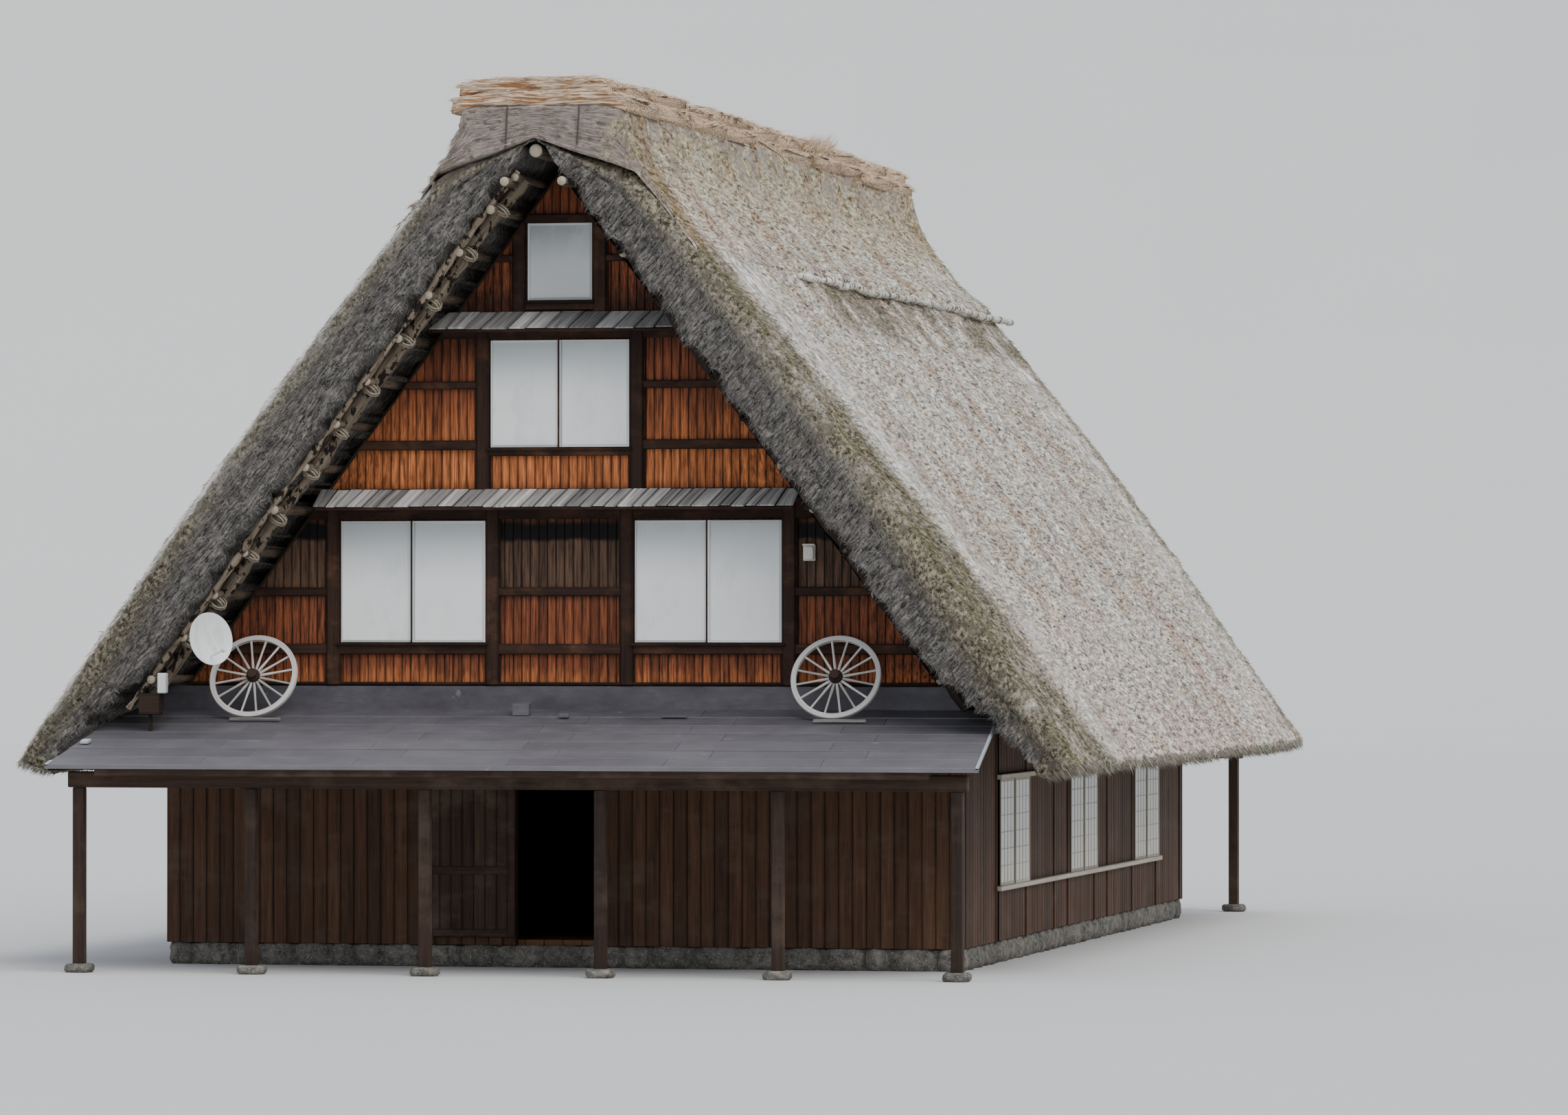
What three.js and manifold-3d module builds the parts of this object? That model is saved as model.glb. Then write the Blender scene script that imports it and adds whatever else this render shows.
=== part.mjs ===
// A thatched minka farmhouse with a steep praying-hands roof, in millimetres, +Z up.
// The front gable faces -Y and the ridge runs along Y. The origin is on the ground at the centre.

import * as THREE from 'three';
import { mergeVertices } from 'three/addons/utils/BufferGeometryUtils.js';
import Module from 'manifold-3d';

const wasm = await Module();
wasm.setup();

// Driving dimensions of the house
const GAP = 0.3;                    // clearance between pieces that touch
const BITE = 1;                     // how deep joined blocks reach into each other
const PAST = 20;                    // how far a cutting block runs past what it cuts
const FAR = 12000;                  // beyond the whole house
const GABLE_Y = 7600;               // outer face of the gable walls from the centre
const ROOF_HALF_LENGTH = 8800;      // thatch and ridge, centre to verge
const PITCH = Math.atan(1.329);     // slope of the roof, about 53 degrees
const COS = Math.cos(PITCH);
const SIN = Math.sin(PITCH);

// Thatch section
const INNER_APEX = 9330;            // height where the two undersides would meet
const TIP = [6130, 2300];           // lowest outer edge of the eave
const EAVE_HEEL = [5710, 2200];     // inner corner of the eave's cut end
const EAVE_BREAK_X = 4710;          // where the underside flattens towards the eave
const SHOULDER = [1150, 8936];      // top of the outer face, under the ridge thatch
const THATCH_BULGE = 100;           // how far the outer face swells in its middle
const OUTER_STEPS = 8;

// Ridge thatch and the straw cap on it
const SADDLE_FOOT = 1640;           // half width where the ridge thatch ends on the slope
const SADDLE_TOP = 9720;
const SADDLE_SIDE = [[980, SADDLE_TOP], [1050, 9400], [1130, 9110]];
const SADDLE_LIP = 120;             // thickness of the ridge thatch at its foot
const CAP_TOP = 10080;
const CAP_SIDE = [
  [990, SADDLE_TOP + GAP], [1050, 9600], [1140, 9600], [1150, 9780], [960, 9970], [600, 10050],
];

// Roof timbers
const PURLIN_RADIUS = 55;
const PURLIN_STEP = 600;
const PURLIN_FIRST = 350;
const PURLIN_COUNT = 13;
const PURLIN_REACH = 8740;
const RAFTER_RADIUS = 90;
const RAFTER_LENGTH = 9200;
const RAFTER_HEAD = 400;            // how far an uncut rafter would run past the apex
const RAFTER_YS = [-7350, -3675, 0, 3675, 7350];
const VERGE_LOG_RADIUS = 60;
const VERGE_LOG_Y = 8450;
const RIDGE_POLE_RADIUS = 80;
const JOINT_DEPTH = 5;              // how deep a purlin sits in the timber under it
const SLOPE_POLE_RADIUS = 50;
const SLOPE_POLE_Y = [-3840, 9500];
const SLOPE_POLE_X = 1930;

// Ground storey
const FOUNDATION_TOP = 250;
const FOUNDATION_WIDTH = 320;
const SIDE_WALL_X = 4650;
const SIDE_WALL_THICK = 150;
const GABLE_WALL_THICK = 120;
const PLATE_X = [4430, 4730];
const PLATE_Z = [2640, 2900];
const GROUND_FLOOR_THICK = 60;
const DOORWAY = { half: 520, top: 2200 };
const DOOR_LEAF = { width: 1110, thick: 36, rise: 30, lap: 20 };
const SIDE_WINDOW_YS = [-4600, 0, 4600];
const SIDE_WINDOW = { half: 850, z: [900, 2100] };
const SIDE_TRACK = { off: 10, height: 60, proud: 60, reach: 1000 };
const SIDE_PANEL = { back: 8, thick: 30, lap: 30, edge: 15 };

// Gable walls above the porch
const GABLE_FOOT = 3200;
const BOARD_APEX = 9000;
const BOARD_THICK = 60;
const STOREY_Z = [3200, 5300, 7300];
const FRAME_PROUD = 60;
const RAIL_PROUD = 45;
const POST_WIDTH = 150;

// Floors of the attic storeys
const FLOOR_THICK = 60;
const FLOOR_TOP_2 = 3160;
const FLOOR_BEAM = { width: 160, depth: 180 };
const TIE_BEAM = { ys: [-5500, -1850, 1850, 5500], half: 4600 };

// Windows: centre, half width, sill and head of each
const WINDOWS = {
  lower_left: { x: -1722, half: 860, z: [3683, 5068], leaves: 2 },
  lower_right: { x: 1722, half: 860, z: [3683, 5068], leaves: 2 },
  middle: { x: 0, half: 816, z: [5895, 7115], leaves: 2 },
  top: { x: 0, half: 379, z: [7561, 8440], leaves: 1 },
};
const WINDOW_LAP = 30;
const LEAF = { thick: 25, clear: 2, lap: 12, bite: 2 };

// Shingled pents on the gable
const PENTS = {
  lower: { half: 2800, top: 5430 },
  upper: { half: 1430, top: 7440 },
};
const PENT = { out: 360, drop: 200, thick: 55 };

// Porch at each gable
const PORCH = { out: 2490, eave: 2340, head: 2950, half: 5300, inner: 4800, thick: 60 };
const PORCH_NOTCH = 30;             // clearance of the roof's wide part from the verge
const APRON = { half: 4500, top: 3190, thick: 40 };
const PORCH_POST_XS = [-5000, -3000, -1000, 1000, 3000, 5000];
const PORCH_POST = { width: 140, fromEdge: 350 };
const PORCH_BEAM = { half: 5120, depth: 180 };
const PORCH_RAFTER = { width: 80, depth: 100, fromEdge: 60 };
const PORCH_RAFTER_XS = [-4700, -3133, -1567, 0, 1567, 3133, 4700];
const LEDGER = { thick: 60, depth: 200 };
const FASCIA = { half: 4740, thick: 30, depth: 95 };

// Cart wheels that lean on the front gable
const WHEEL = {
  radius: 515, rim: 58, rimWidth: 50, hub: 78, hubLength: 210, spokes: 16, spoke: 26, tenon: 15,
};
const WHEEL_XS = { left: -3520, right: 3260 };
const WHEEL_LEAN = THREE.MathUtils.degToRad(26.5);

// Dish on the left verge and lamp beside the right window
const DISH = { radius: 300, deep: 62, thick: 10, x: -3800, y: -9000, z: 3670, turn: 0.62, tilt: 0.14 };
const DISH_ARM = { half: 14, hook: 20, bite: 5 };
const LAMP = { x: 2890, z: 4700, width: 120, height: 190, deep: 80 };

const COLOURS = {
  thatch: [0x8f8a80, 0.97, 0], straw: [0xc2a98b, 0.95, 0], saddle: [0x8c7d74, 0.97, 0],
  boards: [0x7a3f22, 0.8, 0], timber: [0x33241d, 0.85, 0], pole: [0x6b5d50, 0.9, 0],
  panel: [0xdfe5e8, 0.6, 0], shingle: [0x7b7876, 0.9, 0], metal: [0x4b474d, 0.55, 0.3],
  stone: [0x8a8983, 0.95, 0], wheel: [0x9d9891, 0.9, 0], dish: [0xe6e6e2, 0.4, 0.2],
};

const model = new THREE.Group();

function finish(name) {
  const [color, roughness, metalness] = COLOURS[name];
  return new THREE.MeshStandardMaterial({ color, roughness, metalness });
}

function place(parent, name, geometry, colour) {
  const mesh = new THREE.Mesh(geometry, finish(colour));
  mesh.name = name;
  parent.add(mesh);
  return mesh;
}

// Plain shapes: a block between corners, and outlines carried along Y or along X
function block(x, y, z) {
  const shape = new THREE.BoxGeometry(x[1] - x[0], y[1] - y[0], z[1] - z[0]);
  return shape.translate((x[0] + x[1]) / 2, (y[0] + y[1]) / 2, (z[0] + z[1]) / 2);
}

function outline(points) {
  return new THREE.Shape(points.map(([u, v]) => new THREE.Vector2(u, v)));
}

function alongY(points, y) {
  const body = new THREE.ExtrudeGeometry(outline(points), { depth: y[1] - y[0], bevelEnabled: false });
  const turn = new THREE.Matrix4().makeBasis(
    new THREE.Vector3(1, 0, 0), new THREE.Vector3(0, 0, 1), new THREE.Vector3(0, -1, 0));
  return body.applyMatrix4(turn).translate(0, y[1], 0);
}

function alongX(points, x) {
  const body = new THREE.ExtrudeGeometry(outline(points), { depth: x[1] - x[0], bevelEnabled: false });
  const turn = new THREE.Matrix4().makeBasis(
    new THREE.Vector3(0, 1, 0), new THREE.Vector3(0, 0, 1), new THREE.Vector3(1, 0, 0));
  return body.applyMatrix4(turn).translate(x[0], 0, 0);
}

// An eight-sided log along Y, centred, with two flats level
function log(radius, length) {
  return new THREE.CylinderGeometry(
    radius / Math.cos(Math.PI / 8), radius / Math.cos(Math.PI / 8), length, 8, 1, false, Math.PI / 8);
}

// Solids that can be joined and cut
function solid(geometry) {
  const bare = new THREE.BufferGeometry();
  bare.setAttribute('position', geometry.attributes.position);
  if (geometry.index) bare.setIndex(geometry.index);
  const merged = mergeVertices(bare, 1e-3);
  return new wasm.Manifold(new wasm.Mesh({
    numProp: 3,
    vertProperties: new Float32Array(merged.attributes.position.array),
    triVerts: new Uint32Array(merged.index.array),
  }));
}

function geometryOf(body) {
  const mesh = body.getMesh();
  const geometry = new THREE.BufferGeometry();
  geometry.setAttribute('position', new THREE.BufferAttribute(new Float32Array(mesh.vertProperties), 3));
  geometry.setIndex(new THREE.BufferAttribute(new Uint32Array(mesh.triVerts), 1));
  return geometry;
}

function join(geometries) {
  return geometries.map(solid).reduce((whole, piece) => whole.add(piece));
}

function mirrorX(geometry) {
  const twin = geometry.clone().scale(-1, 1, 1);
  const order = twin.index.array;
  for (let i = 0; i < order.length; i += 3) {
    [order[i], order[i + 1]] = [order[i + 1], order[i]];
  }
  return twin;
}

// A point on the right slope: s down from the apex, d under the thatch's underside
function underSlope(s, d) {
  return [s * COS - d * SIN, INNER_APEX - s * SIN - d * COS];
}

// Half width of the gable at a height, and of the clear space between the rafters
function boardHalf(z) {
  return (BOARD_APEX - z) / Math.tan(PITCH);
}

const RAFTER_TOP = 2 * PURLIN_RADIUS + GAP - JOINT_DEPTH;

function clearHalf(z) {
  const lowFace = INNER_APEX - (RAFTER_TOP + 2 * RAFTER_RADIUS) / COS;
  return (lowFace - z) / Math.tan(PITCH) - GAP;
}

// Outer face of the thatch: a straight run with a slight swell
function outerFace(t) {
  const swell = THATCH_BULGE * Math.sin(Math.PI * t);
  const x = TIP[0] + (SHOULDER[0] - TIP[0]) * t + swell * SIN;
  const z = TIP[1] + (SHOULDER[1] - TIP[1]) * t + swell * COS;
  return [x, z];
}

const OUTER = Array.from({ length: OUTER_STEPS + 1 }, (_, i) => outerFace(i / OUTER_STEPS));
const ARCH = [[900, 9030], [450, 9170]];

function outerHeight(x) {
  const i = OUTER.findIndex((point) => point[0] <= x);
  const [[x0, z0], [x1, z1]] = [OUTER[i - 1], OUTER[i]];
  return z0 + (z1 - z0) * (x - x0) / (x1 - x0);
}

// The two thatched slopes
function thatchSlope() {
  const breakZ = INNER_APEX - EAVE_BREAK_X * Math.tan(PITCH);
  const points = [
    ...OUTER, ...ARCH, [GAP, INNER_APEX - GAP], [EAVE_BREAK_X, breakZ], EAVE_HEEL,
  ];
  return solid(alongY(points, [-ROOF_HALF_LENGTH, ROOF_HALF_LENGTH]));
}

const slope = geometryOf(thatchSlope());
place(model, 'thatch_right', slope, 'thatch');
place(model, 'thatch_left', mirrorX(slope), 'thatch');

// Ridge thatch that wraps over both slopes, and the straw cap on top
function ridgeHalf() {
  const under = OUTER.filter(([x]) => x < SADDLE_FOOT).map(([x, z]) => [x, z + 2 * GAP]);
  const arch = ARCH.map(([x, z]) => [x, z + 2 * GAP]);
  const foot = outerHeight(SADDLE_FOOT);
  return [
    [SADDLE_FOOT, foot + 2 * GAP], ...under, ...arch, [0, INNER_APEX + GAP],
    [0, SADDLE_TOP], ...SADDLE_SIDE, [SADDLE_FOOT, foot + SADDLE_LIP],
  ];
}

function bothHalves(half) {
  const right = half.filter(([x]) => x > 0);
  const middle = half.filter(([x]) => x === 0);
  const left = right.map(([x, z]) => [-x, z]).reverse();
  return { right, middle, left };
}

const saddleHalf = ridgeHalf();
const saddle = bothHalves(saddleHalf);
const underCount = saddleHalf.findIndex(([x]) => x === 0);
const saddleOutline = [
  ...saddle.right.slice(0, underCount), saddle.middle[0],
  ...saddle.left.slice(saddle.right.length - underCount),
  ...saddle.left.slice(0, saddle.right.length - underCount),
  ...saddle.right.slice(underCount),
];
place(model, 'ridge_saddle',
  alongY(saddleOutline, [-ROOF_HALF_LENGTH, ROOF_HALF_LENGTH]), 'saddle');

const capOutline = [...CAP_SIDE, [0, CAP_TOP], ...CAP_SIDE.map(([x, z]) => [-x, z]).reverse()];
place(model, 'ridge_cap', alongY(capOutline, [-ROOF_HALF_LENGTH, ROOF_HALF_LENGTH]), 'straw');

// Purlins, rafters and verge logs of one slope, lashed into one frame
function slopeLog(radius, y, depthOfTop) {
  const [x, z] = underSlope(RAFTER_LENGTH / 2 - RAFTER_HEAD, depthOfTop + radius);
  return log(radius, RAFTER_LENGTH).rotateX(Math.PI / 2).rotateY(PITCH - Math.PI / 2).translate(x, y, z);
}

function roofFrame() {
  const purlins = Array.from({ length: PURLIN_COUNT }, (_, i) => {
    const [x, z] = underSlope(PURLIN_FIRST + i * PURLIN_STEP, PURLIN_RADIUS + GAP);
    return log(PURLIN_RADIUS, 2 * PURLIN_REACH).rotateY(PITCH).translate(x, 0, z);
  });
  const rafters = RAFTER_YS.map((y) => slopeLog(RAFTER_RADIUS, y, RAFTER_TOP));
  const verges = [-VERGE_LOG_Y, VERGE_LOG_Y].map((y) => slopeLog(VERGE_LOG_RADIUS, y, RAFTER_TOP));
  const beyondRidge = block([-FAR, GAP / 2], [-FAR, FAR], [0, FAR]);
  const belowPlate = block([0, FAR], [-FAR, FAR], [0, PLATE_Z[1] + GAP]);
  const poleSeat = log(RIDGE_POLE_RADIUS + GAP, 2 * FAR).translate(0, 0, ridgePoleZ());
  return join([...rafters, ...verges, ...purlins])
    .subtract(solid(beyondRidge)).subtract(solid(belowPlate)).subtract(solid(poleSeat));
}

function ridgePoleZ() {
  return INNER_APEX - (RIDGE_POLE_RADIUS / Math.cos(Math.PI / 8) + GAP) / COS;
}

const frameRight = geometryOf(roofFrame());
place(model, 'roof_frame_right', frameRight, 'pole');
place(model, 'roof_frame_left', mirrorX(frameRight), 'pole');
place(model, 'ridge_pole',
  log(RIDGE_POLE_RADIUS, 2 * PURLIN_REACH).translate(0, 0, ridgePoleZ()), 'pole');

// A weathered pole lies along each slope near the ridge
function slopePole(side) {
  const i = OUTER.findIndex(([x]) => x <= SLOPE_POLE_X);
  const [[x0, z0], [x1, z1]] = [OUTER[i - 1], OUTER[i]];
  const angle = Math.atan2(z1 - z0, x0 - x1);
  const off = SLOPE_POLE_RADIUS + GAP;
  const centre = [
    SLOPE_POLE_X + off * Math.sin(angle), outerHeight(SLOPE_POLE_X) + off * Math.cos(angle),
  ];
  const length = SLOPE_POLE_Y[1] - SLOPE_POLE_Y[0];
  return log(SLOPE_POLE_RADIUS, length).rotateY(side * angle)
    .translate(side * centre[0], (SLOPE_POLE_Y[0] + SLOPE_POLE_Y[1]) / 2, centre[1]);
}

place(model, 'slope_pole_right', slopePole(1), 'pole');
place(model, 'slope_pole_left', slopePole(-1), 'pole');

// Foundation course and ground floor
function foundation() {
  const outer = solid(block([-SIDE_WALL_X, SIDE_WALL_X], [-GABLE_Y, GABLE_Y], [0, FOUNDATION_TOP]));
  const room = [SIDE_WALL_X - FOUNDATION_WIDTH, GABLE_Y - FOUNDATION_WIDTH];
  const inner = block([-room[0], room[0]], [-room[1], room[1]], [-PAST, FOUNDATION_TOP + PAST]);
  return geometryOf(outer.subtract(solid(inner)));
}

place(model, 'foundation', foundation(), 'stone');

const floorX = SIDE_WALL_X - SIDE_WALL_THICK - GAP;
const floorY = GABLE_Y - GABLE_WALL_THICK - GAP;
const groundFloorZ = [FOUNDATION_TOP + GAP, FOUNDATION_TOP + GROUND_FLOOR_THICK];
place(model, 'ground_floor', block([-floorX, floorX], [-floorY, floorY], groundFloorZ), 'boards');

// Side walls carry the wall plate that the rafters stand on
function sideWall() {
  const hole = (y) => [
    [y - SIDE_WINDOW.half, SIDE_WINDOW.z[0]], [y - SIDE_WINDOW.half, SIDE_WINDOW.z[1]],
    [y + SIDE_WINDOW.half, SIDE_WINDOW.z[1]], [y + SIDE_WINDOW.half, SIDE_WINDOW.z[0]],
  ];
  const inner = SIDE_WALL_X - SIDE_WALL_THICK;
  const wallZ = [FOUNDATION_TOP + GAP, PLATE_Z[0] + BITE];
  const wall = solid(block([inner, SIDE_WALL_X], [-floorY, floorY], wallZ));
  const holes = SIDE_WINDOW_YS.map((y) => alongX(hole(y), [inner - PAST, SIDE_WALL_X + PAST]));
  const plate = solid(block(PLATE_X, [-floorY, floorY], PLATE_Z));
  return geometryOf(wall.subtract(join(holes)).add(plate));
}

const wallRight = sideWall();
place(model, 'right_wall', wallRight, 'boards');
place(model, 'left_wall', mirrorX(wallRight), 'boards');

function sideWindows() {
  const face = SIDE_WALL_X + GAP;
  const reach = SIDE_WINDOW_YS[2] + SIDE_TRACK.reach;
  const { half, z: [sill, head] } = SIDE_WINDOW;
  const { off, height, proud } = SIDE_TRACK;
  const { back, thick, lap, edge } = SIDE_PANEL;
  const tracks = [[sill - off - height, sill - off], [head + off, head + off + height]];
  const rails = tracks.map((z) => block([face, face + proud], [-reach, reach], z));
  const panels = SIDE_WINDOW_YS.map((y) => block(
    [face + back, face + back + thick], [y - half - lap, y + half + lap], [sill - edge, head + edge]));
  return geometryOf(join([...rails, ...panels]));
}

const windowsRight = sideWindows();
place(model, 'right_windows', windowsRight, 'panel');
place(model, 'left_windows', mirrorX(windowsRight), 'panel');

// Gable walls of the ground storey: the front is split by the doorway
function gableWallOutline(xLow, xHigh) {
  const top = GABLE_FOOT - GAP;
  const shoulderZ = BOARD_APEX - SIDE_WALL_X * Math.tan(PITCH);
  const corners = [];
  corners.push([xLow, FOUNDATION_TOP + GAP], [xHigh, FOUNDATION_TOP + GAP]);
  if (xHigh === SIDE_WALL_X) corners.push([xHigh, shoulderZ], [boardHalf(top), top]);
  else corners.push([xHigh, top]);
  if (xLow === -SIDE_WALL_X) corners.push([-boardHalf(top), top], [xLow, shoulderZ]);
  else corners.push([xLow, top]);
  return corners;
}

const wallY = [-GABLE_Y, -GABLE_Y + GABLE_WALL_THICK];
const doorTop = DOORWAY.top;
place(model, 'front_wall_left',
  alongY(gableWallOutline(-SIDE_WALL_X, -DOORWAY.half), wallY), 'boards');
place(model, 'front_wall_right',
  alongY(gableWallOutline(DOORWAY.half, SIDE_WALL_X), wallY), 'boards');
place(model, 'front_wall_lintel',
  block([-DOORWAY.half + GAP, DOORWAY.half - GAP], wallY, [doorTop, GABLE_FOOT - GAP]), 'boards');

const leafX = [-DOORWAY.half - DOOR_LEAF.width, -DOORWAY.half];
place(model, 'entrance_door',
  block(leafX, [-GABLE_Y - GAP - DOOR_LEAF.thick, -GABLE_Y - GAP],
    [groundFloorZ[1] + DOOR_LEAF.rise, doorTop + DOOR_LEAF.lap]), 'timber');

// Floors of the attic, each on its beams
function floorTwo() {
  const half = clearHalf(FLOOR_TOP_2);
  const slab = block([-half, half], [-floorY, floorY], [FLOOR_TOP_2 - FLOOR_THICK, FLOOR_TOP_2]);
  const beams = TIE_BEAM.ys.map((y) => block(
    [-TIE_BEAM.half, TIE_BEAM.half], [y - FLOOR_BEAM.width / 2, y + FLOOR_BEAM.width / 2],
    [PLATE_Z[1] + GAP, FLOOR_TOP_2 - FLOOR_THICK + BITE]));
  return geometryOf(join([slab, ...beams]));
}

function upperFloor(top) {
  const deep = FLOOR_THICK + FLOOR_BEAM.depth;
  const reach = GABLE_Y - BOARD_THICK - GAP;
  const slab = block([-clearHalf(top), clearHalf(top)], [-reach, reach], [top - FLOOR_THICK, top]);
  const section = [
    [-clearHalf(top - deep), top - deep], [clearHalf(top - deep), top - deep],
    [clearHalf(top), top - BITE], [-clearHalf(top), top - BITE],
  ];
  const half = FLOOR_BEAM.width / 2;
  const beams = RAFTER_YS.map((y) => alongY(section, [y - half, y + half]));
  return geometryOf(join([slab, ...beams]));
}

place(model, 'floor_2', floorTwo(), 'boards');
place(model, 'floor_3', upperFloor(STOREY_Z[1]), 'boards');
place(model, 'floor_4', upperFloor(STOREY_Z[2]), 'boards');

// One gable above the porch: boards of each storey, frame, window leaves, pents and porch
function windowHole({ x, half, z }) {
  const inset = half - WINDOW_LAP;
  return block([x - inset, x + inset], [-GABLE_Y - PAST, -GABLE_Y + BOARD_THICK + PAST],
    [z[0] + WINDOW_LAP, z[1] - WINDOW_LAP]);
}

function storeyBoards(low, high, windows) {
  const corners = [[-boardHalf(low), low], [boardHalf(low), low]];
  if (high >= BOARD_APEX) corners.push([0, BOARD_APEX]);
  else corners.push([boardHalf(high), high], [-boardHalf(high), high]);
  const wall = solid(alongY(corners, [-GABLE_Y, -GABLE_Y + BOARD_THICK]));
  return geometryOf(wall.subtract(join(windows.map(windowHole))));
}

const FRAME_POSTS = [
  { xs: [-2660, -784, 784, 2660], z: [3200, 5430] },
  { xs: [-900, 900], z: [5300, 7440] },
  { xs: [-470, 470], z: [7300, 8600] },
];
const FRAME_RAILS = [
  { z: [3200, 3290], x: [-5000, 5000] }, { z: [3540, 3670], x: [-5000, 5000] },
  { z: [4210, 4320], x: [-5000, -2600] }, { z: [4210, 4320], x: [-800, 800] },
  { z: [4210, 4320], x: [2600, 5000] }, { z: [4840, 4960], x: [-5000, -2600] },
  { z: [4840, 4960], x: [-800, 800] }, { z: [4840, 4960], x: [2600, 5000] },
  { z: [5085, 5430], x: [-5000, 5000] }, { z: [5800, 5880], x: [-900, 900] },
  { z: [5870, 5980], x: [-5000, -900] }, { z: [5870, 5980], x: [900, 5000] },
  { z: [6560, 6650], x: [-5000, -900] }, { z: [6560, 6650], x: [900, 5000] },
  { z: [7130, 7440], x: [-5000, 5000] }, { z: [7450, 7545], x: [-470, 470] },
  { z: [8000, 8080], x: [-5000, -470] }, { z: [8000, 8080], x: [470, 5000] },
  { z: [8440, 8540], x: [-600, 600] },
];

// A triangle that stays under the roof, carried along Y: its sides run with the slope
function gablePrism(apex, y) {
  const half = (apex - GABLE_FOOT) / Math.tan(PITCH);
  return solid(alongY([[-half, GABLE_FOOT], [half, GABLE_FOOT], [0, apex]], y));
}

function gableFrame() {
  const back = -GABLE_Y - GAP;
  const posts = FRAME_POSTS.flatMap(({ xs, z }) => xs.map((x) => block(
    [x - POST_WIDTH / 2, x + POST_WIDTH / 2], [back - FRAME_PROUD, back], z)));
  const rails = FRAME_RAILS.map(({ z, x }) => block(x, [back - RAIL_PROUD, back], z));
  const gable = gablePrism(BOARD_APEX, [back - FRAME_PROUD - PAST, back + PAST]);
  return geometryOf(join([...posts, ...rails]).intersect(gable));
}

function windowLeaves({ x, half, z, leaves }) {
  const { thick, clear, lap, bite } = LEAF;
  const back = -GABLE_Y - GAP;
  const sides = [x - half + clear, x + half - clear];
  const height = [z[0] + clear, z[1] - clear];
  if (leaves === 1) return block(sides, [back - thick, back], height);
  const left = block([sides[0], x + lap], [back - thick, back], height);
  const right = block([x - lap, sides[1]], [back - 2 * thick + 2 * bite, back - thick + bite], height);
  return geometryOf(join([left, right]));
}

function pentRoof({ half, top }) {
  const back = -GABLE_Y - GAP - FRAME_PROUD - GAP;
  const section = [
    [back, top - PENT.thick], [back, top], [back - PENT.out, top - PENT.drop],
    [back - PENT.out, top - PENT.drop - PENT.thick],
  ];
  const underPurlins = INNER_APEX - (2 * PURLIN_RADIUS + 4 * GAP) / COS;
  const clear = gablePrism(underPurlins, [back - PENT.out - PAST, back + PAST]);
  return geometryOf(solid(alongX(section.reverse(), [-half, half])).intersect(clear));
}

const porchSlope = (PORCH.head - PORCH.eave) / PORCH.out;

function porchHeight(y) {
  return PORCH.head + (y + GABLE_Y) * porchSlope;
}

function porchRoof() {
  const strip = (y0, y1, half) => alongX([
    [y0, porchHeight(y0) - PORCH.thick], [y1, porchHeight(y1) - PORCH.thick],
    [y1, porchHeight(y1)], [y0, porchHeight(y0)],
  ], [-half, half]);
  const notch = -ROOF_HALF_LENGTH - PORCH_NOTCH;
  const apronY = [-GABLE_Y - APRON.thick, -GABLE_Y - GAP];
  const apron = block([-APRON.half, APRON.half], apronY, [porchHeight(-GABLE_Y) - PORCH.thick, APRON.top]);
  return geometryOf(join([
    strip(-GABLE_Y - PORCH.out, notch + BITE, PORCH.half),
    strip(notch, -GABLE_Y - APRON.thick / 2, PORCH.inner), apron,
  ]));
}

const postY = -GABLE_Y - PORCH.out + PORCH_POST.fromEdge;
const rafterUnder = PORCH.thick + GAP;

function porchPosts() {
  const half = PORCH_POST.width / 2;
  const beamTop = porchHeight(postY - half) - rafterUnder - PORCH_RAFTER.depth - GAP;
  const beam = block([-PORCH_BEAM.half, PORCH_BEAM.half],
    [postY - half, postY + half], [beamTop - PORCH_BEAM.depth, beamTop]);
  const posts = PORCH_POST_XS.map((x) => block(
    [x - half, x + half], [postY - half, postY + half], [0, beamTop - BITE]));
  return geometryOf(join([beam, ...posts]));
}

function porchRafters() {
  const outer = -GABLE_Y - PORCH.out + PORCH_RAFTER.fromEdge;
  const inner = -GABLE_Y - GAP;
  const half = PORCH_RAFTER.width / 2;
  const section = [
    [outer, porchHeight(outer) - rafterUnder - PORCH_RAFTER.depth],
    [inner, porchHeight(inner) - rafterUnder - PORCH_RAFTER.depth],
    [inner, porchHeight(inner) - rafterUnder], [outer, porchHeight(outer) - rafterUnder],
  ];
  const rafters = PORCH_RAFTER_XS.map((x) => alongX(section, [x - half, x + half]));
  const ledgerTop = porchHeight(inner - LEDGER.thick) - rafterUnder;
  const ledger = block([-APRON.half, APRON.half],
    [inner - LEDGER.thick, inner], [ledgerTop - LEDGER.depth, ledgerTop]);
  const fasciaTop = porchHeight(outer) - rafterUnder;
  const fascia = block([-FASCIA.half, FASCIA.half],
    [outer, outer + FASCIA.thick], [fasciaTop - FASCIA.depth, fasciaTop]);
  return geometryOf(join([...rafters, ledger, fascia]));
}

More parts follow.
